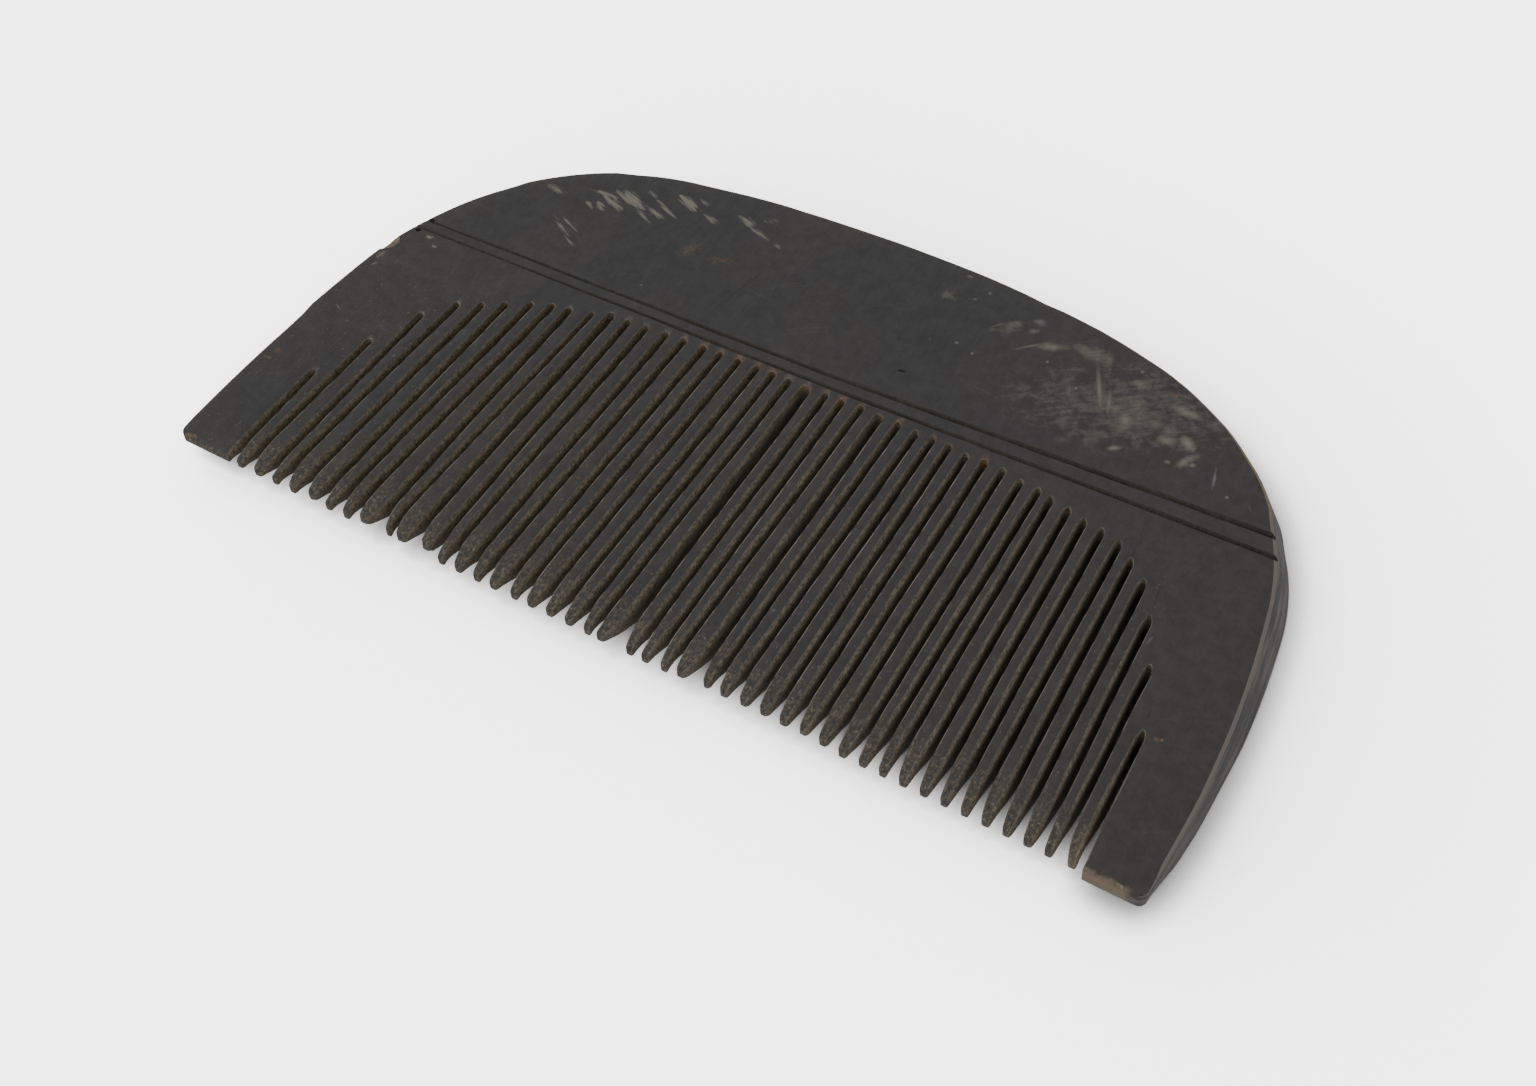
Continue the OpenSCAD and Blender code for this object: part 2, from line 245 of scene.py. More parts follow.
class Plan:
    """Where each cut, root, wall and tip of the comb is."""

    def __init__(self, board, cut):
        self.board = board
        self.cut = cut
        self.half_w = board.comb_w / 2
        self.slope = math.tan(cut.tip_skew)
        self.drop = self.half_w * self.slope
        self.mid_y = (board.comb_h - self.drop) / 2

    def across(self, i):
        """Place of cut i in the row, from -1 to 1."""
        return (2 * i - self.cut.cuts - 1) / (self.cut.cuts - 1)

    def ruled_x(self, i, y):
        """X of cut i at height y as the rule sets it out."""
        t = self.across(i)
        return (self.cut.cuts_span / 2 * t + self.cut.spacing_drift * (1 - t * t) - SET_LEFT
                - math.tan(self.cut.fan * t) * (y - self.cut.set_out_y))

    def wander(self, i):
        """Shift, lean, extra width and lower root of cut i."""
        return WANDERING_CUTS.get(i, (0, 0, 0, 0))

    def cut_x(self, i, y):
        """X of the middle of cut i at height y, as it was sawn."""
        shift, lean = self.wander(i)[:2]
        lean_x = math.tan(math.radians(lean)) * (y - self.cut.set_out_y)
        return self.ruled_x(i, y) + shift + lean_x

    def root_y(self, i):
        """Height of the root of cut i."""
        t = self.across(i)
        a = abs(t)
        return (self.cut.root_top - self.cut.arch_sag * a ** 3 - self.cut.arch_drop * a ** 11
                + self.cut.arch_tilt * t - self.wander(i)[3])

    def end_len(self, i):
        """Length of a cut's rounded end in half kerfs: the cuts at the right run to a point."""
        return ROUND_END + POINT_EXTRA * ramp(i, 34, 39)

    def half_kerf(self, i, y):
        """Half the width of cut i at height y, which grows towards the tips."""
        up = max(0, (y - self.cut.taper_len) / (self.cut.root_top - self.cut.taper_len))
        kerf = self.cut.kerf_low + (self.cut.kerf_root - self.cut.kerf_low) * up
        return (kerf + self.wander(i)[2]) / 2

    def tip_y(self, i):
        """Height of the line of the tips at cut i."""
        return -self.cut_x(i, 0) * self.slope

    def tip_x(self, tooth):
        """X of the end of the tooth to the right of the cut of the same number."""
        return self.ruled_x(tooth + 0.5, 0) + TIP_LEAN + TIP_SHIFTS.get(tooth, 0)

    def tremble(self, i, y, side):
        """The saw's small swerves."""
        return SWERVE * wave(i * 3.7, y / 5, side * 5.1)

    def sawn_wall(self, i, y, side):
        """X of a wall of cut i before the teeth were narrowed at their tips."""
        x = self.cut_x(i, y) + side * self.half_kerf(i, y) + self.tremble(i, y, side)
        if side > 0:
            return x + self.cut.saw_drift * ramp(y, 17, 28)
        return x + self.cut.fill_in * (1 + 2 * max(0, 1 - y / 20) * ramp(i, 7, 15))

    def tip_half(self, h):
        """Half the width of a tooth at a height above its tip, when it is wholly narrowed."""
        half = self.cut.blunt_w / 2
        if h < self.cut.nose:
            half = TIP_HALF_W + (half - TIP_HALF_W) * math.sqrt(1 - (1 - h / self.cut.nose) ** 2)
        return half

    def wall(self, i, y, side):
        """X of the left (side -1) or right (side 1) wall of cut i at height y."""
        plain = self.sawn_wall(i, y, side)
        tooth = i if side > 0 else i - 1
        if not 1 <= tooth < self.cut.cuts:
            return plain
        h = y - self.tip_y(i)
        taper = self.cut.left_taper if side > 0 else self.cut.right_taper
        share = max(0, 1 - max(0, h) / taper) ** 2
        half = self.tip_half(max(0, h - SHORT_TIPS.get(tooth, 0)))
        return plain * (1 - share) + (self.tip_x(tooth) - side * half) * share

    def worn(self, i, y):
        """How worn the right edge of a tooth is: not at the root, and wholly low down."""
        return ramp(self.root_y(i) - y, 0, WEAR_LEN)

    def arris(self, i, y, left):
        """Size of the rounding on the left or right edge of cut i."""
        rough = 0.85 + 0.5 * wave(i * 1.9, y / 3, 7 if left else 2)
        if not left:
            return self.cut.crisp_arris * rough
        full = self.cut.worn_arris * (1.1 - 0.35 * ramp(y, 0, 38))
        return (self.cut.crisp_arris + (full - self.cut.crisp_arris) * self.worn(i, y)) * rough

    def flank_share(self, i, y):
        """How many times deeper than wide the worn edge is."""
        return 1 + (self.cut.flank / self.cut.worn_arris - 1) * self.worn(i, y)

    def own_fall(self, tooth, x, y):
        """How far a tooth's own face lies under the flat of the board."""
        if not 1 <= tooth < self.cut.cuts:
            return 0
        sink = SINK * (0.5 + 0.5 * wave(tooth * 7.3, 0.5))
        tilt = TILT * wave(tooth * 3.1, 9.5)
        return ramp(y, 30, 16) * (sink + tilt * (x - self.tip_x(tooth)))

    def nose_fall(self, h):
        """How far a tip falls away at a height above its end."""
        share = max(0, 1 - max(0, h) / self.cut.nose)
        return NOSE_FALL * (1 - math.sqrt(1 - share ** 2))

    def face_z(self, tooth, x, y):
        """Height of the face at a place that belongs to this tooth."""
        h = y + x * self.slope
        fall = self.cut.face_fall * max(0, 1 - max(0, h) / self.cut.taper_len) ** 2
        fall += self.nose_fall(h - SHORT_TIPS.get(tooth, 0)) + self.own_fall(tooth, x, y)
        fall += SWELL * (0.5 + 0.5 * wave(x / 13, y / 10, 3))
        return self.board.board_t - fall

    def sole_z(self, tooth, x, y):
        """Height of the sole, which rises towards the tips, at a place of this tooth."""
        h = max(0, y + x * self.slope)
        end_t = self.cut.guard_t if tooth >= self.cut.cuts else self.cut.tip_t
        rise = self.board.board_t - self.cut.face_fall - end_t
        z = 0.0
        if h < self.cut.relief_len:
            z = rise * (1 + math.cos(math.pi * h / self.cut.relief_len)) / 2
        return z + self.nose_fall(h - SHORT_TIPS.get(tooth, 0))


def side_arcs(plan, base, turn, r, long_r):
    """Centre, turning angle and steps of the crown, shoulder, side and corner arcs of one half."""
    board = plan.board
    crown_c = Vector((0, board.comb_h - board.crown_r))
    shoulder_c = crown_c + (board.crown_r - r) * Vector((math.sin(turn), math.cos(turn)))
    gap = shoulder_c - Vector(base)
    along = (long_r ** 2 - (long_r - r) ** 2 + gap.dot(gap)) / (2 * gap.length)
    aside = math.sqrt(long_r ** 2 - along ** 2)
    side_c = Vector(base) + (along * gap + aside * Vector((-gap.y, gap.x))) / gap.length
    meet = math.atan2(shoulder_c.x - side_c.x, shoulder_c.y - side_c.y)
    last = math.acos((base[1] + board.corner_r - side_c.y) / long_r)
    corner_c = side_c + long_r * Vector((math.sin(last), math.cos(last)))
    corner_c.x -= board.corner_r
    return [(crown_c, turn, 12), (shoulder_c, meet - turn, 30), (side_c, last - meet, 18),
            (corner_c, math.pi / 2, 6)]


# Modelling with Blender's own tools, in millimetres
SAME = 1e-4  # places nearer than this are one place
AT_END = 1e-3  # vertices nearer than this to an end of the front belong to the end
FRONT_Y = 5  # vertices lower than this can belong to the front
CORNER_ROOM = 2.4  # how far from the sides the front keeps its own vertices, in corner radii
IN_CUT = 0.1  # how far beside the middle of a cut the mesh has a line
SLAB_HALF_W = 61  # half the width of the slab, a little wider than the board


def deselect():
    """Leaves edit mode, with nothing selected."""
    if bpy.context.object and bpy.context.object.mode != "OBJECT":
        bpy.ops.object.mode_set(mode="OBJECT")
    bpy.ops.object.select_all(action="DESELECT")


def only(*objects):
    """Selects these objects alone, the first of them active."""
    deselect()
    for obj in objects:
        obj.select_set(True)
    bpy.context.view_layer.objects.active = objects[0]


def select_verts(obj, test):
    """In edit mode, selects the vertices whose place passes the test, and the edges between."""
    bpy.ops.object.mode_set(mode="OBJECT")
    for polygon in obj.data.polygons:
        polygon.select = False
    for edge in obj.data.edges:
        edge.select = False
    for vertex in obj.data.vertices:
        vertex.select = test(vertex.co)
    bpy.ops.object.mode_set(mode="EDIT")
    bpy.ops.mesh.select_mode(type="VERT")


def select_edges(obj, test):
    """In edit mode, selects the edges whose two ends pass the test."""
    bpy.ops.object.mode_set(mode="OBJECT")
    data = obj.data
    for vertex in data.vertices:
        vertex.select = False
    for polygon in data.polygons:
        polygon.select = False
    for edge in data.edges:
        edge.select = test(*(data.vertices[v].co for v in edge.vertices))
    bpy.ops.object.mode_set(mode="EDIT")


def face_outwards(obj):
    """Turns the normals of a solid outwards."""
    only(obj)
    bpy.ops.object.mode_set(mode="EDIT")
    bpy.ops.mesh.select_all(action="SELECT")
    bpy.ops.mesh.normals_make_consistent(inside=False)
    bpy.ops.object.mode_set(mode="OBJECT")


def new_object(name):
    """The object just added, under this name."""
    obj = bpy.context.object
    obj.name = name
    obj.data.name = name
    return obj


def join(objects):
    """One object made of several."""
    only(*objects)
    bpy.ops.object.join()
    return bpy.context.object


def boolean(obj, cutter, operation):
    """Cuts with, or keeps what lies inside, another solid, which is used up."""
    modifier = obj.modifiers.new("Boolean", "BOOLEAN")
    modifier.operation = operation
    modifier.solver = "EXACT"
    modifier.object = cutter
    only(obj)
    bpy.ops.object.modifier_apply(modifier=modifier.name)
    bpy.data.objects.remove(cutter)


def give_slots(obj, index):
    """The wood's seven slots, with every face in one of them."""
    obj.data.materials.clear()
    for material in bpy.data.materials:
        if material.name.startswith("wood_"):
            obj.data.materials.append(material)
    for polygon in obj.data.polygons:
        polygon.material_index = index


def rim_wander(x, y):
    """How much farther out the rim was left at this place."""
    total = weight = 0
    for at_x, at_y, out in RIM_WANDER:
        w = math.exp(-((x - at_x) ** 2 + (y - at_y) ** 2) / 10)
        total += w * out
        weight += w
    return total / max(weight, 0.35)


def sweep_outline(plan, name, z, right, left):
    """A D outline at height z, both halves swept arc by arc from the top, its front divided."""
    deselect()
    top = Vector((0, plan.board.comb_h, z))
    bpy.ops.mesh.primitive_plane_add(size=1, location=top)
    ring = new_object(name)
    bpy.ops.object.transform_apply(location=True)
    bpy.ops.object.mode_set(mode="EDIT")
    bpy.ops.mesh.select_all(action="SELECT")
    bpy.ops.mesh.merge(type="CENTER")
    for side, arcs in ((1, right), (-1, left)):
        select_verts(ring, lambda co: (co - top).length < SAME)
        for centre, angle, steps in arcs:
            bpy.ops.mesh.spin(steps=steps, angle=side * angle, axis=(0, 0, 1),
                              center=(side * centre.x, centre.y, z))
    ends = (-left[-1][0].x, right[-1][0].x)
    select_verts(ring, lambda co: co.y < FRONT_Y and min(abs(co.x - x) for x in ends) < AT_END)
    bpy.ops.mesh.edge_face_add()
    bpy.ops.mesh.subdivide(number_cuts=2 * plan.cut.cuts)
    bpy.ops.object.mode_set(mode="OBJECT")
    return ring


def outline_ring(plan, name, z, right, left):
    """One closed D outline at height z, its front along the tips and its rim as it was filed."""
    ring = sweep_outline(plan, name, z, right, left)
    inner = plan.half_w - plan.board.corner_r * CORNER_ROOM
    front = sorted((v for v in ring.data.vertices if v.co.y < FRONT_Y and abs(v.co.x) < inner),
                   key=lambda v: v.co.x)
    for n, vertex in enumerate(front):
        cut = n // 2 + 1
        tooth = cut - 1 + n % 2
        x = plan.cut_x(cut, 0) + (IN_CUT if n % 2 else -IN_CUT)
        vertex.co.x = x
        vertex.co.y = -x * plan.slope + SHORT_TIPS.get(tooth, 0)
    placed = {v.index for v in front}
    for vertex in ring.data.vertices:
        if vertex.index not in placed and vertex.co.y > 3:
            out = Vector((vertex.co.x, vertex.co.y - 8)).normalized()
            out *= rim_wander(vertex.co.x, vertex.co.y)
            vertex.co.x = min(max(vertex.co.x + out.x, LOW.x / MM), HIGH.x / MM)
            vertex.co.y = min(vertex.co.y + out.y, plan.board.comb_h)
    return ring


def board_solid(plan):
    """The D-shaped board with its worn rim, before sawing."""
    b = plan.board
    right_y = -plan.drop
    left_y = plan.drop
    face_right = side_arcs(plan, (plan.half_w - b.face_inset, right_y), b.crown_angle,
                           b.shoulder_r, b.right_side_r)
    face_left = side_arcs(plan, (plan.half_w - b.left_slope, left_y), b.crown_angle,
                          b.shoulder_r, b.left_side_r)
    sole_right = side_arcs(plan, (plan.half_w - b.sole_inset, right_y), b.sole_crown_angle,
                           b.sole_shoulder_r, b.sole_side_r)
    sole_left = side_arcs(plan, (plan.half_w, left_y), b.crown_angle, b.shoulder_r,
                          b.left_side_r)
    face = outline_ring(plan, "face_outline", b.board_t, face_right, face_left)
    sole = outline_ring(plan, "sole_outline", 0, sole_right, sole_left)
    board = join([face, sole])
    bpy.ops.object.mode_set(mode="EDIT")
    bpy.ops.mesh.select_mode(type="EDGE")
    bpy.ops.mesh.select_all(action="SELECT")
    bpy.ops.mesh.bridge_edge_loops()
    for z in (0, b.board_t):
        select_edges(board, lambda p, q: abs(p.z - z) < SAME and abs(q.z - z) < SAME)
        bpy.ops.mesh.edge_face_add()
    face_outwards(board)
    give_slots(board, WALL)
    select_edges(board, lambda p, q: abs(p.z - q.z) < SAME)
    bpy.ops.mesh.bevel(offset=b.rim, segments=2, profile=0.5, affect="EDGES",
                       clamp_overlap=False, material=RIM)
    bpy.ops.object.mode_set(mode="OBJECT")
    return new_object("board")


def line_by_cut(plan, i, aside):
    """X at height y of a line beside the middle of cut i, which runs on straight above the root."""
    def line(y):
        in_cut = min(y, plan.root_y(i))
        return (plan.cut_x(i, in_cut) + aside
                + plan.ruled_x(i, y) - plan.ruled_x(i, in_cut))
    return line


def line_on_guard(plan, i, edge_x, share):
    """X at height y of a line on a guard, this share of the way from cut i to the slab's edge."""
    return lambda y: plan.cut_x(i, min(y, 15)) * (1 - share) + edge_x * share


def slab_columns(plan):
    """Lines along the teeth, two in each cut and five on each guard: (tooth, x at height y)."""
    cuts = plan.cut.cuts
    shares = (0.2, 0.4, 0.6, 0.8, 1)
    columns = [(0, line_on_guard(plan, 1, -SLAB_HALF_W, share)) for share in reversed(shares)]
    for i in range(1, cuts + 1):
        columns.append((i - 1, line_by_cut(plan, i, -IN_CUT)))
        columns.append((i, line_by_cut(plan, i, IN_CUT)))
    columns += [(cuts, line_on_guard(plan, cuts, SLAB_HALF_W, share)) for share in shares]
    return columns


def slab_solid(plan):
    """A wide slab with the face's and sole's own swells, falls and reliefs, thin at the tips."""
    rows = [-2, -0.3, 0, 0.08, 0.2, 0.35, 0.55, 0.9, 1.4, 2, 2.7, 3.6, 4.5, 5.5, 6.5, 7.5, 8.5, 9.5]
    rows += range(12, 67, 3)
    columns = slab_columns(plan)
    deselect()
    bpy.ops.mesh.primitive_grid_add(x_subdivisions=len(columns) - 1,
                                    y_subdivisions=len(rows) - 1, size=2)
    slab = new_object("slab")
    bpy.ops.object.mode_set(mode="EDIT")
    bpy.ops.mesh.select_all(action="SELECT")
    bpy.ops.mesh.extrude_region_move(TRANSFORM_OT_translate={"value": (0, 0, -1)})
    bpy.ops.object.mode_set(mode="OBJECT")
    for vertex in slab.data.vertices:
        column = round((vertex.co.x + 1) / 2 * (len(columns) - 1))
        row = round((vertex.co.y + 1) / 2 * (len(rows) - 1))
        tooth, line = columns[column]
        x = line(rows[row])
        y = rows[row] - x * plan.slope
        upper = vertex.co.z > -0.5
        z = plan.face_z(tooth, x, y) if upper else plan.sole_z(tooth, x, y)
        vertex.co = (x, y, z)
    face_outwards(slab)
    give_slots(slab, FACE)
    return slab


# Heights of the stations on a cut's walls: near the tips above their line, then as shares
TIP_STATIONS = (-3, -0.4, 0, 0.12, 0.3, 0.5, 0.8, 1.2, 1.8, 2.6, 3.5, 4.5)
WALL_STATIONS = (0.06, 0.14, 0.23, 0.33, 0.44, 0.56, 0.68, 0.8, 0.91, 1)
ROOT_STEPS = 5
LEVELS = 10  # rings of a peg: one below the board, four on each arris and one above
CLEAR = 3  # how far a peg reaches above and below the board

# Section of a scored line, wider above the face: half widths aside and depths up
V_SECTION = [(1.84, 1), (1.84, 2), (-1.84, 2), (-1.84, 1), (-0.16, -1), (0.16, -1)]
LINE_HALF = 62  # half the length of the bar that cuts a line


def cut_wall_points(plan, i, side, e):
    """One wall of cut i from outside the tips up to the root's rounding, drawn out by e."""
    top = plan.root_y(i)
    r = plan.half_kerf(i, top)
    start = plan.tip_y(i) + TIP_STATIONS[-1]
    levels = [plan.tip_y(i) + h for h in TIP_STATIONS]
    levels += [start + (top - plan.end_len(i) * r - start) * share for share in WALL_STATIONS]
    return [(plan.wall(i, y, side) + side * e, y) for y in levels]


def cut_outline(plan, i, e):
    """Plan of cut i, drawn out by e: up its right wall, round its root and down its left wall."""
    top = plan.root_y(i)
    r = plan.half_kerf(i, top)
    long = plan.end_len(i)
    base_y = top - long * r
    left_x = plan.wall(i, base_y, -1)
    right_x = plan.wall(i, base_y, 1)
    centre = plan.cut_x(i, top)
    root = []
    for n in range(1, 2 * ROOT_STEPS):
        a = math.pi * n / (2 * ROOT_STEPS)
        edge = right_x if n <= ROOT_STEPS else left_x
        x = centre + (edge - centre) * abs(math.cos(a)) + e * math.cos(a)
        root.append((x, base_y + (long * r + e) * math.sin(a) ** (0.4 + 0.25 * long)))
    return cut_wall_points(plan, i, 1, e) + root + cut_wall_points(plan, i, -1, e)[::-1]


def peg(plan):
    """A plain round peg with a ring for each level of an arris, which each cut is shaped from."""
    points = len(cut_outline(plan, 1, 0))
    deselect()
    bpy.ops.mesh.primitive_cylinder_add(vertices=points, radius=1, depth=2)
    obj = new_object("peg")
    bpy.ops.object.mode_set(mode="EDIT")
    select_edges(obj, lambda p, q: abs(p.z - q.z) > 1)
    bpy.ops.mesh.subdivide(number_cuts=LEVELS - 2)
    bpy.ops.object.mode_set(mode="OBJECT")
    return obj


def level_shares(level):
    """How far out and how deep a level of an arris lies, as shares of its size."""
    if level in (0, LEVELS - 1):
        return 1.08, 0
    step = level - 1 if level < LEVELS / 2 else LEVELS - 2 - level
    turn = math.radians(30) * step
    return 1 - math.sin(turn), 1 - math.cos(turn)


def peg_point(plan, i, level, plain, wide, left):
    """Place of one point of a peg, from its place on the plain outline and on a wider one."""
    x, y = plain
    tooth = i - 1 if left else i
    thick = plan.face_z(tooth, x, y) - plan.sole_z(tooth, x, y)
    size = plan.arris(i, y, left) * min(1, max(0.02, (y - plan.tip_y(i)) / 0.6))
    size = min(size, 0.4 * thick)
    deep = min(size * plan.flank_share(i, y), 0.55 * thick) if left else size
    out, down = level_shares(level)
    reach = size * out
    x += (wide[0] - x) * reach
    y += (wide[1] - y) * reach
    if level == 0:
        z = -CLEAR
    elif level < LEVELS / 2:
        z = plan.sole_z(tooth, x, y) + size * down
    elif level < LEVELS - 1:
        z = plan.face_z(tooth, x, y) - deep * down
    else:
        z = plan.board.board_t + CLEAR
    return x, y, z


def shape_cut(plan, obj, i):
    """Moves the rings of a peg to the walls, root and arrises of cut i."""
    plain = cut_outline(plan, i, 0)
    wide = cut_outline(plan, i, 1)
    count = len(plain)
    for vertex in obj.data.vertices:
        n = round(math.atan2(vertex.co.y, vertex.co.x) / (2 * math.pi) * count) % count
        level = round((vertex.co.z + 1) / 2 * (LEVELS - 1))
        vertex.co = peg_point(plan, i, level, plain[n], wide[n], n >= count / 2)
    return obj


def mark_arris(obj):
    """Puts the upper and lower rings of a peg into the slot of the arrises, but not the flank."""
    for polygon in obj.data.polygons:
        corners = [obj.data.vertices[v].co for v in polygon.vertices]
        middle = sum(corners, Vector()) / len(corners)
        edge = middle.z < -1 / 3 or middle.z > 1 / 3 and middle.y > -0.1
        polygon.material_index = ARRIS if edge else SAWN


def saw_cuts(plan):
    """All the saw cuts as one cutting solid: a peg modelled once, copied and shaped."""
    model = peg(plan)
    give_slots(model, SAWN)
    mark_arris(model)
    pegs = []
    for i in range(1, plan.cut.cuts + 1):
        copy = model.copy()
        copy.data = model.data.copy()
        bpy.context.collection.objects.link(copy)
        pegs.append(shape_cut(plan, copy, i))
    bpy.data.objects.remove(model)
    cutter = join(pegs)
    face_outwards(cutter)
    return cutter


def scored_line(plan, name, start, slopes, widths):
    """A long bar with a V section that wavers a little, to cut one scored line.

    It starts from this height in the middle and has a slope to the left and one to the right,
    and its width goes from the first share of the usual one at the left to the second.
    """
    deselect()
    bpy.ops.mesh.primitive_cylinder_add(vertices=len(V_SECTION), radius=1, depth=2,
                                        rotation=(0, math.pi / 2, 0))
    bar = new_object(name)
    bpy.ops.object.transform_apply(rotation=True)
    bpy.ops.object.mode_set(mode="EDIT")
    select_edges(bar, lambda p, q: abs(p.x - q.x) > 1)
    bpy.ops.mesh.subdivide(number_cuts=60)
    bpy.ops.object.mode_set(mode="OBJECT")
    for vertex in bar.data.vertices:
        n = round(math.atan2(vertex.co.z, vertex.co.y) / (math.pi / 3)) % len(V_SECTION)
        x = vertex.co.x * LINE_HALF
        share = widths[0] + (widths[1] - widths[0]) * (x + 60) / 120
        half = plan.cut.score_w / 2 * share * (1 + 0.25 * wave(x / 4, start, 8))
        depth = plan.cut.score_d * share * (1 + 0.3 * wave(x / 6, start))
        aside, up = V_SECTION[n]
        y = start + slopes[x > 0] * x + 0.05 * wave(x / 9, start, 4)
        vertex.co = (x, y + aside * half, plan.board.board_t + up * depth)
    face_outwards(bar)
    give_slots(bar, SCORED)
    return bar


FEWEST_FACES = 5000  # a comb with fewer faces than this has lost its cuts

# Chips and knocks: x, y, z, half sizes along x, y and z, turn in degrees, slot of the broken wood
CHIPS = [
    (-55.0, 35.0, 5.3, 1.2, 1.7, 0.85, -22, BROKEN),
    (-54.6, 33.0, 5.2, 0.5, 0.8, 0.4, -10, BROKEN),
    (-53.0, 38.3, 5, 0.35, 0.3, 0.6, 0, SCORED),
    (-52.4, 40.3, 5, 0.3, 0.28, 0.5, 0, SCORED),
    (51.6, -0.45, 4.85, 0.9, 0.4, 0.5, 0, BROKEN),
    (53.4, -0.5, 4.85, 0.8, 0.3, 0.45, 10, BROKEN),
    (55.0, -0.55, 4.75, 0.8, 0.45, 0.5, -15, BROKEN),
    (57.1, -0.35, 4.9, 0.35, 0.28, 0.45, 25, SCORED),
    (-56.6, 0.9, 4.75, 0.8, 0.3, 0.4, 12, BROKEN),
    (7.5, 45.4, 5.02, 0.55, 0.2, 0.35, 12, SCORED),
]


def chip(row, n):
    """A rough lump that knocks one chip out."""
    x, y, z, half_x, half_y, half_z, turn, slot = row
    deselect()
    bpy.ops.mesh.primitive_ico_sphere_add(subdivisions=2, radius=1)
    obj = new_object("chip")
    spin = Matrix.Rotation(math.radians(turn), 3, "Z")
    for vertex in obj.data.vertices:
        rough = 1 + 0.3 * noise.noise(vertex.co * 2.3 + Vector((n * 3, 0, 0)))
        co = Vector((vertex.co.x * half_x, vertex.co.y * half_y, vertex.co.z * half_z)) * rough
        vertex.co = spin @ co + Vector((x, y, z))
    give_slots(obj, slot)
    return obj


def finish_mesh(obj, mid_y):
    """Merges doubles, centres the mesh in metres, keeps it in the solids' box and smooths it."""
    only(obj)
    bpy.ops.object.mode_set(mode="EDIT")
    bpy.ops.mesh.select_all(action="SELECT")
    bpy.ops.mesh.remove_doubles(threshold=0.002)
    bpy.ops.mesh.delete_loose(use_verts=True, use_edges=True, use_faces=False)
    bpy.ops.object.mode_set(mode="OBJECT")
    obj.location = (0, -mid_y * MM, 0)
    obj.scale = (MM, MM, MM)
    bpy.ops.object.transform_apply(location=True, rotation=True, scale=True)
    for vertex in obj.data.vertices:
        vertex.co = [min(max(c, low), high) for c, low, high in zip(vertex.co, LOW, HIGH)]
    bpy.ops.object.shade_smooth_by_angle(angle=math.radians(40))


# Materials
MIDDLE_Y = 31.1  # height of the middle of the comb over the line of the tips, in millimetres

# What colours are multiplied by in the pores, in the mottle of the face and among crumbs
IN_PORES = (0.72, 0.72, 0.72, 1)
MOTTLE_DARK = (0.78, 0.76, 0.74, 1)
MOTTLE_PALE = (1.19, 1.20, 1.22, 1)
CRUMB_DARK = (0.45, 0.45, 0.45, 1)
CRUMB_PALE = (1.75, 1.58, 1.3, 1)


def feed(tree, node, inputs):
    """Gives each of these inputs of a node a value, or a link from a socket."""
    for key, value in inputs.items():
        if isinstance(value, bpy.types.NodeSocket):
            tree.links.new(value, node.inputs[key])
        else:
            node.inputs[key].default_value = value


def put(tree, kind, inputs, **options):
    """Adds a node with these options, and feeds its inputs, by name or number."""
    node = tree.nodes.new(kind)
    for key, option in options.items():
        setattr(node, key, option)
    feed(tree, node, inputs)
    return node


def sums(tree, operation, a, b=0.0, clamp=False):
    """One step of arithmetic."""
    return put(tree, "ShaderNodeMath", {0: a, 1: b}, operation=operation,
               use_clamp=clamp).outputs[0]


def times(tree, a, b, clamp=False):
    """The product of two values."""
    return sums(tree, "MULTIPLY", a, b, clamp)


def plus(tree, value, other, share):
    """A value plus this share of another."""
    return sums(tree, "ADD", value, times(tree, other, share))


def inverse(tree, mask):
    """1 where a mask is 0, and the other way round."""
    return sums(tree, "SUBTRACT", 1.0, mask)


def between(tree, value, low, high, kind="SMOOTHSTEP"):
    """0 below low, 1 above high and smooth between, or the other way round."""
    return put(tree, "ShaderNodeMapRange", {0: value, 1: low, 2: high},
               interpolation_type=kind).outputs[0]


def blend(tree, share, a, b, kind="MIX"):
    """Colour a with this share of colour b."""
    return put(tree, "ShaderNodeMix", {0: share, 6: a, 7: b}, data_type="RGBA",
               blend_type=kind).outputs[2]


def cover(tree, base, mask, share, over):
    """A colour with this share of another over it where the mask is 1."""
    return blend(tree, times(tree, mask, share), base, over)


def grain_noise(tree, place, stretch, scale, detail=3.0, rough=0.6, distort=0.0):
    """Noise whose cells are stretched by the three shares."""
    moved = put(tree, "ShaderNodeVectorMath", {0: place, 1: stretch}, operation="MULTIPLY")
    return put(tree, "ShaderNodeTexNoise", {
        "Vector": moved.outputs[0], "Scale": scale, "Detail": detail, "Roughness": rough,
        "Distortion": distort}).outputs[0]


def new_group(name, inputs, outputs):
    """An empty shader node group with these sockets, (name, kind, default) each."""
    group = bpy.data.node_groups.new(name, "ShaderNodeTree")
    for socket, kind, default in inputs:
        made = group.interface.new_socket(name=socket, in_out="INPUT", socket_type=kind)
        if default is not None:
            made.default_value = default
    for socket, kind in outputs:
        group.interface.new_socket(name=socket, in_out="OUTPUT", socket_type=kind)
    return group, group.nodes.new("NodeGroupInput").outputs, group.nodes.new("NodeGroupOutput")


NUMBER, VECTOR = "NodeSocketFloat", "NodeSocketVector"


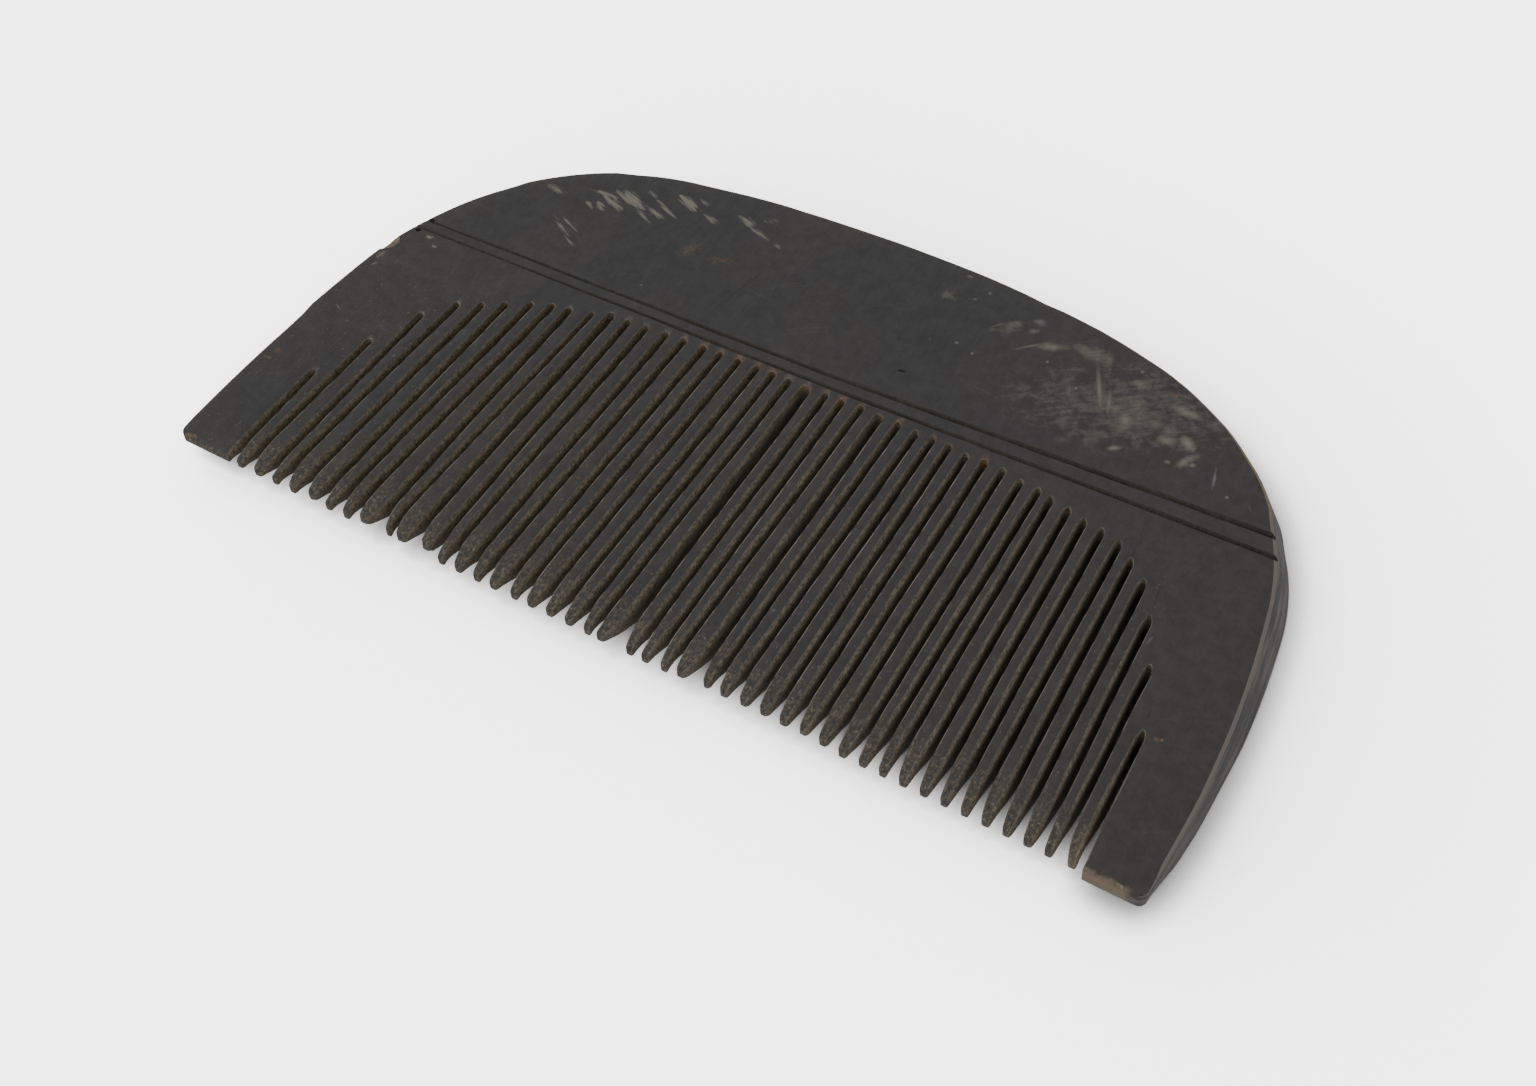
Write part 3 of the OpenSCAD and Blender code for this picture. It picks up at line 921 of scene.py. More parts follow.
def place_group():
    """Place on the comb in millimetres, with Y from the line of the tips."""
    group, taken, out = new_group("Place in mm", [("Middle", NUMBER, MIDDLE_Y)],
                                  [("Place", VECTOR)])
    spot = group.nodes.new("ShaderNodeTexCoord").outputs["Object"]
    scaled = put(group, "ShaderNodeVectorMath", {0: spot, "Scale": 1 / MM}, operation="SCALE")
    up = put(group, "ShaderNodeCombineXYZ", {1: taken["Middle"]}).outputs[0]
    moved = put(group, "ShaderNodeVectorMath", {0: scaled.outputs[0], 1: up}, operation="ADD")
    feed(group, out, {"Place": moved.outputs[0]})


def grain_group():
    """Close dark pores along the teeth, and broad cool and warm patches."""
    group, taken, out = new_group(
        "Wood grain", [("Place", VECTOR, None), ("Fineness", NUMBER, 1.0)],
        [("Pores", NUMBER), ("Patches", NUMBER), ("Height", NUMBER)])
    fine = times(group, taken["Fineness"], 2.6)
    pores = grain_noise(group, taken["Place"], (1.0, 0.14, 0.6), fine, 4.0, 0.7)
    speckle = grain_noise(group, taken["Place"], (1.0, 0.7, 1.0), 3.4, 2.0, 0.6)
    patches = grain_noise(group, taken["Place"], (1.0, 0.6, 1.0), 0.07, 2.0, 0.5, 0.8)
    feed(group, out, {"Pores": between(group, pores, 0.35, 0.68),
                      "Patches": between(group, patches, 0.42, 0.62),
                      "Height": plus(group, times(group, pores, 0.6), speckle, 0.4)})


def scratch_group():
    """Thin straight scratches that run one way."""
    group, taken, out = new_group(
        "Scratches", [("Place", VECTOR, None), ("Angle", NUMBER, 0.0), ("Closeness", NUMBER, 1.0),
                      ("Amount", NUMBER, 0.5)], [("Mask", NUMBER)])
    turned = put(group, "ShaderNodeVectorRotate", {"Vector": taken["Place"],
                                                   "Angle": taken["Angle"]}).outputs[0]
    lines = grain_noise(group, turned, (0.045, 1.0, 0.045), taken["Closeness"], 2.0, 0.55)
    breaks = grain_noise(group, turned, (0.12, 0.3, 0.1), 1.0, 2.0, 0.5)
    low = sums(group, "SUBTRACT", 0.78, times(group, taken["Amount"], 0.22))
    thin = between(group, lines, low, sums(group, "ADD", low, 0.07), "LINEAR")
    feed(group, out, {"Mask": times(group, thin, between(group, breaks, 0.42, 0.6))})


def oval_group():
    """One soft oval, 1 times its strength in the middle and 0 at its border."""
    group, taken, out = new_group(
        "Soft oval", [("Place", VECTOR, None), ("Centre", VECTOR, (0, 0, 0)),
                      ("Turn", VECTOR, (0, 0, 0)), ("Size", VECTOR, (1, 1, 1)),
                      ("Strength", NUMBER, 1.0)], [("Mask", NUMBER)])
    moved = put(group, "ShaderNodeMapping", {
        "Vector": taken["Place"], "Location": taken["Centre"], "Rotation": taken["Turn"],
        "Scale": taken["Size"]}, vector_type="TEXTURE").outputs[0]
    ball = put(group, "ShaderNodeTexGradient", {"Vector": moved},
               gradient_type="SPHERICAL").outputs[1]
    feed(group, out, {"Mask": times(group, ball, taken["Strength"])})


def ragged_group():
    """Breaks the border of a soft shape up with noise, and keeps it empty where the shape is 0."""
    group, taken, out = new_group(
        "Ragged shape", [("Shape", NUMBER, 0.0), ("Noise", NUMBER, 0.5), ("Amount", NUMBER, 1.0)],
        [("Mask", NUMBER)])
    rough = times(group, sums(group, "SUBTRACT", taken["Noise"], 0.5), taken["Amount"])
    broken = between(group, sums(group, "ADD", taken["Shape"], rough), 0.1, 1.0, "LINEAR")
    feed(group, out, {"Mask": times(group, broken, between(group, taken["Shape"], 0.0, 0.15))})


# Pale streaky marks on the left of the face: x, y, angle, half length, half width, strength
STREAKY_MARKS = [
    (-36.8, 53.6, 4, 2.8, 0.35, 0.8), (-33.4, 54.3, -14, 2.8, 1.1, 1.0),
    (-35.1, 52.7, -19, 2.1, 0.8, 0.7), (-29.7, 53.6, -12, 1.6, 0.6, 0.6),
    (-30.8, 52.5, -27, 1.9, 0.35, 0.6), (-36.1, 51.6, -30, 1.1, 0.5, 0.5),
    (-37.5, 51.2, -30, 1.1, 0.4, 0.4), (-31.6, 56.2, -6, 1.2, 0.5, 0.4),
    (-28.9, 54.7, -25, 2.4, 0.35, 0.6), (-27.0, 56.8, -17, 2.2, 0.85, 1.0),
    (-23.4, 55.7, -16, 1.6, 0.5, 0.6), (-25.5, 57.8, -13, 1.2, 0.4, 0.45),
    (-19.4, 57.4, -17, 1.8, 0.7, 0.7), (-17.2, 56.4, -17, 1.8, 0.55, 0.9),
    (-14.2, 55.5, -15, 1.1, 0.35, 0.5), (-17.0, 58.8, 18, 1.2, 0.5, 0.35),
    (-42.3, 51.6, -8, 1.8, 0.7, 0.4), (-37.5, 47.3, -31, 3.0, 0.4, 0.35),
    (-37.8, 46.2, -34, 4.0, 0.35, 0.35), (-51.1, 37.9, 20, 0.7, 0.35, 0.7),
    (-49.7, 36.9, 0, 0.5, 0.3, 0.5),
]

# Pale cloudy marks on the right of the face, in the same columns
CLOUDY_MARKS = [
    (31.0, 52.0, 20, 16.0, 8.0, 0.42), (7.4, 61.6, 0, 0.7, 0.4, 0.6),
    (6.8, 57.8, 0, 1.5, 1.0, 0.35), (14.8, 56.8, 43, 2.8, 1.2, 0.5),
    (17.5, 57.4, 10, 0.9, 0.6, 0.6), (17.5, 58.9, 0, 0.9, 0.6, 0.6),
    (20.4, 56.3, 20, 2.5, 0.8, 0.95), (24.5, 57.5, 3, 3.2, 1.2, 0.65),
    (26.6, 57.4, -65, 2.0, 0.8, 0.5), (31.7, 50.5, -65, 3.0, 1.3, 0.75),
    (31.1, 55.7, 1, 2.8, 1.1, 0.65), (36.9, 54.4, -7, 2.8, 1.0, 1.0),
    (34.7, 51.5, 0, 1.3, 0.9, 0.7), (36.7, 49.9, 0, 1.7, 1.1, 0.75),
    (38.9, 50.6, -40, 1.8, 0.9, 1.1), (39.7, 48.2, 65, 2.1, 0.8, 0.9),
    (32.3, 46.3, 32, 1.2, 0.5, 0.95), (38.1, 47.2, 0, 0.5, 0.45, 0.9),
    (40.5, 48.1, 0, 0.5, 0.45, 0.9), (24.4, 50.8, 35, 1.8, 0.5, 0.45),
]

# Thin pale scratches and specks anywhere on the face, in the same columns
THIN_MARKS = [
    (6.2, 57.7, 97, 1.5, 0.22, 0.5), (9.5, 58.7, 0, 0.4, 0.3, 0.7), (10.6, 60.3, 0, 0.3, 0.3, 0.9),
    (13.7, 56.5, 47, 1.5, 0.25, 0.6), (18.1, 55.2, 43, 2.8, 0.25, 0.7),
    (27.5, 53.0, -62, 4.8, 0.45, 0.95), (29.2, 51.8, -70, 3.2, 0.4, 0.8),
    (43.3, 47.4, -74, 2.2, 0.22, 0.8), (48.1, 45.5, -51, 1.3, 0.25, 0.4),
    (10.8, 51.9, 0, 0.28, 0.28, 1.0), (13.0, 51.3, 0, 0.28, 0.28, 1.0),
    (20.8, 54.0, 0, 0.28, 0.28, 1.0), (25.2, 52.0, 0, 0.28, 0.28, 1.0),
    (7.9, 51.0, 0, 0.25, 0.25, 0.6), (30.5, 57.5, 0, 0.3, 0.3, 1.0),
    (45.4, 45.8, 0, 0.3, 0.3, 1.0), (46.0, 25.6, 80, 1.0, 0.2, 0.6),
    (-54.3, 31.4, 60, 0.6, 0.25, 0.8), (-24.9, 43.0, 0, 0.25, 0.25, 0.8),
    (-53.8, 23.9, -29, 0.8, 0.18, 0.7), (-48.0, 15.2, 0, 0.35, 0.35, 0.8),
    (-43.6, 20.8, 0, 0.3, 0.3, 0.6), (51.9, 15.6, 0, 0.22, 0.22, 1.0),
]

# Thin dark scratches, in the same columns
DARK_MARKS = [(-14.5, 48.0, 76, 8.0, 0.22, 0.8), (44.4, 30.9, 100, 1.8, 0.25, 1.0),
              (49.6, 17.6, 96, 1.0, 0.22, 1.0), (40.1, 34.6, 100, 1.0, 0.22, 1.0)]

# Orange stains, in the same columns
ORANGE_MARKS = [(-23.1, 50.4, 61, 2.0, 1.0, 0.65), (-18.9, 50.6, 28, 2.2, 1.0, 0.45),
                (34.9, 56.1, 10, 1.2, 0.7, 0.6), (51.4, 15.4, 0, 0.5, 0.45, 1.0),
                (41.9, 51.6, 0, 0.5, 0.4, 0.6), (-55.8, 15.3, 20, 0.6, 0.5, 0.9),
                (-56.0, 13.9, 0, 0.5, 0.4, 0.8)]

# Dust at the roots of the cuts: cut, radius, strength of orange, strength of pale dust
ROOT_DUST = [
    (1, 0.9, 0.1, 0.7), (2, 0.9, 0.1, 0.6), (3, 0.9, 0.1, 0.6), (4, 0.9, 0.2, 0.6),
    (9, 0.9, 0.1, 0.6), (11, 0.9, 0.1, 0.5), (12, 1.0, 0.2, 0.7), (13, 1.0, 0.2, 0.7),
    (14, 1.0, 0.3, 0.6), (15, 1.2, 0.4, 0.7), (16, 1.3, 0.9, 0.3), (17, 1.2, 0.7, 0.4),
    (18, 1.3, 0.9, 0.3), (19, 1.3, 0.8, 0.3), (20, 1.3, 0.8, 0.4), (21, 1.2, 0.3, 1.0),
    (22, 1.3, 0.8, 0.6), (23, 1.1, 0.6, 0.3), (24, 1.3, 0.9, 0.3), (25, 1.0, 0.7, 0.3),
    (27, 1.1, 0.8, 0.2), (29, 0.9, 0.4, 0.2), (32, 1.1, 0.9, 0.2), (35, 0.8, 0.4, 0.2),
]


ORANGE_DUST, PALE_DUST = 2, 3  # the two columns of strength


def group_node(tree, name, inputs):
    """The outputs of one use of a shader group."""
    return put(tree, "ShaderNodeGroup", inputs, node_tree=bpy.data.node_groups[name]).outputs


def strongest(tree, masks):
    """The strongest of several masks at each place."""
    total = masks[0]
    for mask in masks[1:]:
        total = sums(tree, "MAXIMUM", total, mask)
    return total


def start_material(name):
    """A new material with its Principled shader and the place on the comb."""
    material = bpy.data.materials.new(name)
    material.use_nodes = True
    tree = material.node_tree
    shader = tree.nodes["Principled BSDF"]
    place = group_node(tree, "Place in mm", {})["Place"]
    return tree, shader, place


def end_material(tree, shader, base, roughness, height, depth):
    """Sets colour, roughness and the height of the fine relief, with its depth in millimetres."""
    bump = put(tree, "ShaderNodeBump", {"Strength": 1.0, "Distance": depth * MM,
                                        "Height": height}).outputs[0]
    feed(tree, shader, {"Base Color": base, "Roughness": roughness, "Normal": bump})


def oval(tree, place, centre, turn, size, strength):
    """One soft oval, turned by this many degrees."""
    return group_node(tree, "Soft oval", {
        "Place": place, "Centre": centre, "Turn": (0, 0, math.radians(turn)), "Size": size,
        "Strength": strength})["Mask"]


def ovals(tree, place, rows):
    """The strongest of a table's soft ovals on the face at each place."""
    masks = []
    for x, y, turn, along, across, strength in rows:
        masks.append(oval(tree, place, (x, y, 5), turn, (along, across, 3), strength))
    return strongest(tree, masks)


def root_dust(tree, plan, place, column):
    """Soft dust at the roots of the cuts, of the orange or the pale column of the table."""
    masks = []
    for row in ROOT_DUST:
        cut, r = row[:2]
        y = plan.root_y(cut)
        masks.append(oval(tree, place, (plan.cut_x(cut, y), y, 4.7), 0,
                          (0.65 * r, 0.9 * r, 3 * r), row[column]))
    return strongest(tree, masks)


def ragged(tree, shape, rough, amount):
    """A soft shape with its border broken up by this much noise."""
    return group_node(tree, "Ragged shape", {"Shape": shape, "Noise": rough,
                                             "Amount": amount})["Mask"]


def streaks(tree, place, turn, stretch):
    """Noise drawn out along one direction on the face, turned by this many degrees."""
    turned = put(tree, "ShaderNodeVectorRotate", {"Vector": place, "Angle": -math.radians(turn)})
    return grain_noise(tree, turned.outputs[0], (stretch, 1.0, stretch), 3.0, 3.0, 0.65)


def scratches_at(tree, place, angle, close):
    """Fine scratches that run one way, turned by this many radians."""
    return group_node(tree, "Scratches", {"Place": place, "Angle": angle, "Closeness": close,
                                          "Amount": 0.5})["Mask"]


def parts(tree, place):
    """X, Y and Z of a place."""
    return put(tree, "ShaderNodeSeparateXYZ", {0: place}).outputs


def along_x(tree, place, low, high):
    """0 left of low, 1 right of high."""
    return between(tree, parts(tree, place)[0], low, high)


def root_mask(tree, plan, place):
    """1 at the rounded ends of the cuts, along the arch that they end on."""
    x, y, _ = parts(tree, place)
    across = sums(tree, "DIVIDE", sums(tree, "ABSOLUTE", x), plan.cut.cuts_span / 2)
    sag = times(tree, sums(tree, "POWER", across, 3.0), plan.cut.arch_sag)
    drop = times(tree, sums(tree, "POWER", across, 11.0), plan.cut.arch_drop)
    arch = sums(tree, "SUBTRACT", plan.cut.root_top, sums(tree, "ADD", sag, drop))
    return between(tree, sums(tree, "SUBTRACT", y, arch), -2.0, -0.8)


def worn_tip_mask(tree, place):
    """1 at the ends of the teeth, with a ragged border, and on a narrow strip of the guards."""
    x, y, _ = parts(tree, place)
    rough = grain_noise(tree, place, (1, 0.5, 1), 0.9, 4.0, 0.7)
    guards = between(tree, sums(tree, "ABSOLUTE", x), 49.5, 51)
    from_end = plus(tree, y, x, 0.0088)
    strip = between(tree, plus(tree, from_end, rough, -1.1), 0, -0.5)
    strip = times(tree, strip, between(tree, x, 56.4, 55.4))
    teeth = between(tree, plus(tree, y, rough, -10.0), 2.8, -4.8)
    return sums(tree, "ADD", times(tree, strip, guards), times(tree, teeth, inverse(tree, guards)))


def tip_colour(tree, place, wood):
    """Speckled bare wood of the worn ends, tanner on the right guard."""
    speckle = grain_noise(tree, place, (1.0, 0.7, 1.0), 3.2, 3.0, 0.7)
    worn = blend(tree, between(tree, speckle, 0.35, 0.6), wood.dark, wood.filed)
    grains = blend(tree, 0.5, wood.edge, wood.gold)
    worn = blend(tree, between(tree, speckle, 0.55, 0.68), worn, grains)
    flecks = between(tree, grain_noise(tree, place, (1, 1, 1), 4.6, 2.0, 0.6), 0.64, 0.72)
    worn = cover(tree, worn, flecks, 0.6, wood.fleck)
    return cover(tree, worn, along_x(tree, place, 49, 51), 0.75, wood.tan)


def polished_wood(tree, place, grain, clouds, wood):
    """Dark wood of the face, browner to the right, with darker pores and a soft mottle."""
    base = blend(tree, grain["Patches"], wood.dark, wood.brown)
    base = cover(tree, base, along_x(tree, place, 0, 50), 0.6, wood.brown)
    base = cover(tree, base, grain["Pores"], 0.25, blend(tree, 1.0, base, IN_PORES, "MULTIPLY"))
    mottle = blend(tree, between(tree, clouds, 0.3, 0.7), MOTTLE_DARK, MOTTLE_PALE)
    return blend(tree, 1.0, base, mottle, "MULTIPLY")


def rubbed_mask(tree, place, clouds):
    """Pale rubs of the face: streaky at the left, cloudy at the right, thin ones anywhere."""
    mixed = plus(tree, times(tree, clouds, 0.64), streaks(tree, place, 35, 0.10), 0.36)
    left = ragged(tree, ovals(tree, place, STREAKY_MARKS), streaks(tree, place, -19, 0.12), 2.4)
    right = ragged(tree, ovals(tree, place, CLOUDY_MARKS), mixed, 2.0)
    thin = ragged(tree, ovals(tree, place, THIN_MARKS), clouds, 0.5)
    return strongest(tree, [times(tree, left, 1.9, True), right, thin])


def crumb_mask(tree, place, crumbs):
    """Pale crumbs on the face of the teeth, but not at its right end."""
    among_teeth = between(tree, parts(tree, place)[1], 38, 30)
    among_teeth = times(tree, among_teeth, inverse(tree, along_x(tree, place, 44, 49)))
    return times(tree, between(tree, crumbs, 0.62, 0.72), among_teeth)


def face_material(plan, wood):
    """The polished face with its rubs, scratches, stains, dust and worn ends of the teeth."""
    tree, shader, place = start_material("wood_0_face")
    grain = group_node(tree, "Wood grain", {"Place": place})
    clouds = grain_noise(tree, place, (1, 1, 1), 0.7, 6.0, 0.68, 0.4)
    crumbs = grain_noise(tree, place, (1, 1, 1), 2.4, 3.0, 0.65)
    rub = rubbed_mask(tree, place, clouds)
    scratches = strongest(tree, [scratches_at(tree, place, -0.6, 1.6),
                                 scratches_at(tree, place, 0.05, 2.0)])
    pale = strongest(tree, [times(tree, rub, 0.82), times(tree, scratches, 0.05)])
    base = blend(tree, pale, polished_wood(tree, place, grain, clouds, wood), wood.rubbed)
    nicks = ragged(tree, ovals(tree, place, DARK_MARKS), clouds, 0.5)
    base = blend(tree, nicks, base, wood.nick)
    tips = worn_tip_mask(tree, place)
    base = cover(tree, base, tips, 0.7, tip_colour(tree, place, wood))
    base = cover(tree, base, crumb_mask(tree, place, crumbs), 0.3, wood.edge)
    pale_dust = ragged(tree, root_dust(tree, plan, place, PALE_DUST), crumbs, 1.8)
    base = cover(tree, base, pale_dust, 0.35, wood.rubbed)
    orange = strongest(tree, [ovals(tree, place, ORANGE_MARKS),
                              root_dust(tree, plan, place, ORANGE_DUST)])
    base = cover(tree, base, ragged(tree, orange, crumbs, 2.0), 0.5, wood.dust)
    rough = plus(tree, 0.5, rub, 0.2)
    rough = plus(tree, rough, tips, 0.25)
    rough = plus(tree, rough, grain["Pores"], 0.08)
    height = sums(tree, "SUBTRACT", grain["Height"], times(tree, scratches, 0.5))
    height = plus(tree, height, tips, times(tree, crumbs, 2.0))
    end_material(tree, shader, base, rough, height, 0.03)


def wall_material(wood):
    """Outer walls of the board, with file marks that show most at the right."""
    tree, shader, place = start_material("wood_1_wall")
    grain = group_node(tree, "Wood grain", {"Place": place})
    files = grain_noise(tree, place, (0.3, 0.05, 1.0), 1.4, 4.0, 0.7)
    marks = between(tree, files, 0.40, 0.62)
    plain = blend(tree, grain["Patches"], wood.dark, wood.brown)
    filed = blend(tree, marks, wood.dark, wood.facet)
    base = blend(tree, plus(tree, 0.2, along_x(tree, place, 46, 52), 0.8), plain, filed)
    base = cover(tree, base, worn_tip_mask(tree, place), 0.7, tip_colour(tree, place, wood))
    end_material(tree, shader, base, plus(tree, 0.5, marks, 0.2),
                 sums(tree, "ADD", files, grain["Height"]), 0.07)


def arris_material(plan, wood):
    """Pale edges of the teeth, partly wear and partly a painted highlight, duller at the right and
    at the roots.
    """
    tree, shader, place = start_material("wood_2_arris")
    grain = group_node(tree, "Wood grain", {"Place": place})
    wear = grain_noise(tree, place, (1, 0.5, 1), 0.8, 3.0, 0.65)
    at_right = times(tree, along_x(tree, place, 12, 42), 0.5)
    at_root = times(tree, root_mask(tree, plan, place), 0.7)
    bright = inverse(tree, strongest(tree, [at_right, at_root]))
    # Painted highlight and wear: the pale edge colour laid along the arrises
    pale = times(tree, between(tree, wear, 0.36, 0.62), bright)
    base = blend(tree, pale, wood.brown, wood.edge)
    end_material(tree, shader, base, plus(tree, 0.42, wear, 0.2), grain["Height"], 0.04)


def sawn_material(plan, wood):
    """Walls of the cuts: strokes of the saw under painted shade below, and crumbs and dust above.
    """
    tree, shader, place = start_material("wood_3_sawn")
    grain = group_node(tree, "Wood grain", {"Place": place, "Fineness": 1.4})
    strokes = grain_noise(tree, place, (0.3, 0.12, 1.0), 3.2, 3.0, 0.6)
    crumbs = grain_noise(tree, place, (1, 0.8, 1), 3.0, 4.0, 0.7)
    worn = blend(tree, along_x(tree, place, -40, 25), wood.sawn, wood.grey_sawn)
    speckle = blend(tree, between(tree, crumbs, 0.32, 0.68), CRUMB_DARK, CRUMB_PALE)
    speckled = blend(tree, 1.0, worn, speckle, "MULTIPLY")
    # Painted shade: below 3.2 to 4.3 mm the walls turn to the dark deep wood, as if in the cut's
    # shade
    below = blend(tree, between(tree, strokes, 0.3, 0.65), wood.deep, worn)
    z = parts(tree, place)[2]
    base = blend(tree, between(tree, z, 3.2, 4.3), below, speckled)
    shoulder = blend(tree, 0.6, speckled, wood.brown)
    base = blend(tree, between(tree, z, 4.62, 4.95), base, shoulder)
    base = cover(tree, base, worn_tip_mask(tree, place), 0.6, tip_colour(tree, place, wood))
    pale_dust = ragged(tree, root_dust(tree, plan, place, PALE_DUST), crumbs, 1.4)
    base = cover(tree, base, pale_dust, 0.6, wood.rubbed)
    orange = ragged(tree, root_dust(tree, plan, place, ORANGE_DUST), crumbs, 1.2)
    base = cover(tree, base, orange, 0.8, wood.dust)
    end_material(tree, shader, base, plus(tree, 0.55, strokes, 0.2),
                 sums(tree, "ADD", strokes, grain["Height"]), 0.06)


def scored_material(wood):
    """Bottom of the scored lines and of the small nicks."""
    tree, shader, place = start_material("wood_4_scored")
    grain = group_node(tree, "Wood grain", {"Place": place})
    base = blend(tree, grain["Pores"], wood.scored, wood.scored_pore)
    end_material(tree, shader, base, 0.7, grain["Height"], 0.05)


def broken_material(wood):
    """Bare wood where a chip broke off."""
    tree, shader, place = start_material("wood_5_broken")
    grain = group_node(tree, "Wood grain", {"Place": place, "Fineness": 1.5})
    base = blend(tree, grain["Pores"], wood.filed, wood.tan)
    end_material(tree, shader, base, 0.75, grain["Height"], 0.08)


def rim_material(wood):
    """The worn rim: golden above, as dark as the wood below, and pale by the filed facet."""
    tree, shader, place = start_material("wood_6_rim")
    _, y, z = parts(tree, place)
    wear = grain_noise(tree, place, (1, 1, 1), 0.8, 3.0, 0.65)
    worn = blend(tree, between(tree, wear, 0.35, 0.6), wood.sawn, wood.gold)
    pale = blend(tree, between(tree, wear, 0.6, 0.85), wood.facet, wood.tan)
    above = blend(tree, along_x(tree, place, 49, 53), worn, pale)
    above = blend(tree, between(tree, y, 0.8, 2.0), tip_colour(tree, place, wood), above)
    base = blend(tree, between(tree, z, 2.5, 3.5), wood.dark, above)
    end_material(tree, shader, base, plus(tree, 0.45, wear, 0.2), wear, 0.04)


# Operators


class COMB_OT_finishes(Operator):
    """Makes the shader groups and the seven finishes of the wood"""
    bl_idname = "comb.finishes"
    bl_label = "Mix the finishes"

    def execute(self, context):
        for make_group in (place_group, grain_group, scratch_group, oval_group, ragged_group):
            make_group()
        plan = Plan(read(context.scene.comb_board), read(context.scene.comb_cuts))
        wood = context.scene.comb_wood
        face_material(plan, wood)
        wall_material(wood)
        arris_material(plan, wood)
        sawn_material(plan, wood)
        scored_material(wood)
        broken_material(wood)
        rim_material(wood)
        return {"FINISHED"}


class COMB_OT_body(Operator):
    """Models the sawn and filed board in place of the plain one"""
    bl_idname = "comb.body"
    bl_label = "Saw the comb"

    def execute(self, context):
        plan = Plan(read(context.scene.comb_board), read(context.scene.comb_cuts))
        body = board_solid(plan)
        boolean(body, slab_solid(plan), "INTERSECT")
        boolean(body, saw_cuts(plan), "DIFFERENCE")
        boolean(body, scored_line(plan, "lower_line", plan.cut.lower_line_y,
                                  slopes=(0.015, 0.0255), widths=(0.6, 1.3)), "DIFFERENCE")
        boolean(body, scored_line(plan, "upper_line", plan.cut.upper_line_y,
                                  slopes=(0.018, 0.044), widths=(0.62, 1.45)), "DIFFERENCE")
        for n, row in enumerate(CHIPS):
            boolean(body, chip(row, n), "DIFFERENCE")
        if len(body.data.polygons) < FEWEST_FACES:
            raise RuntimeError("the comb came out of its cuts with too few faces")
        finish_mesh(body, plan.mid_y)
        body.name = "comb_body"
        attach(body, "root")
        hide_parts("comb")
        return {"FINISHED"}


# The stage, in metres
FLOOR_SIZE = 6
LIGHT_PLACE = (-0.9, -0.6, 0.75)
LIGHT_SIZE = 0.9
CAMERA_PLACE = (0.08511, -0.12708, 0.18444)
SENSOR_W = 36  # in millimetres, as is the focal length
NEAREST = 0.01  # what is nearer to the camera than this isn't seen

# How the comb's painted shadow darkens the paper's glow
LIT_SIDE = {0: -0.6, 1: -0.3, 2: 0.74}  # x, y and z of where the light comes from
SHADE_POWER = 1.3
CONTACT_POWER = 3.8
SHADE_SAMPLES = 8


def floor_paper(look):
    """Pale paper. Its glow is for the camera alone, so that it doesn't light the comb; the comb's
    shadow is painted into it.
    """
    material = bpy.data.materials.new("floor_paper")
    material.use_nodes = True
    tree = material.node_tree
    seen = tree.nodes.new("ShaderNodeLightPath").outputs["Is Camera Ray"]
    lit_side = put(tree, "ShaderNodeCombineXYZ", LIT_SIDE).outputs[0]
    near = put(tree, "ShaderNodeAmbientOcclusion", {"Distance": look.shade_reach,
                                                    "Normal": lit_side}, samples=SHADE_SAMPLES)
    under = put(tree, "ShaderNodeAmbientOcclusion", {"Distance": look.contact},
                samples=SHADE_SAMPLES)
    # Painted shadow: ambient occlusion darkens the glow round and under the comb, more on the side
    # away from the light
    shade = times(tree, sums(tree, "POWER", near.outputs["AO"], SHADE_POWER),
                  sums(tree, "POWER", under.outputs["AO"], CONTACT_POWER))
    glow = times(tree, seen, times(tree, shade, look.glow))
    feed(tree, tree.nodes["Principled BSDF"], {
        "Base Color": look.floor, "Roughness": 0.9, "Specular IOR Level": 0.2,
        "Emission Color": look.floor, "Emission Strength": glow})
    return material


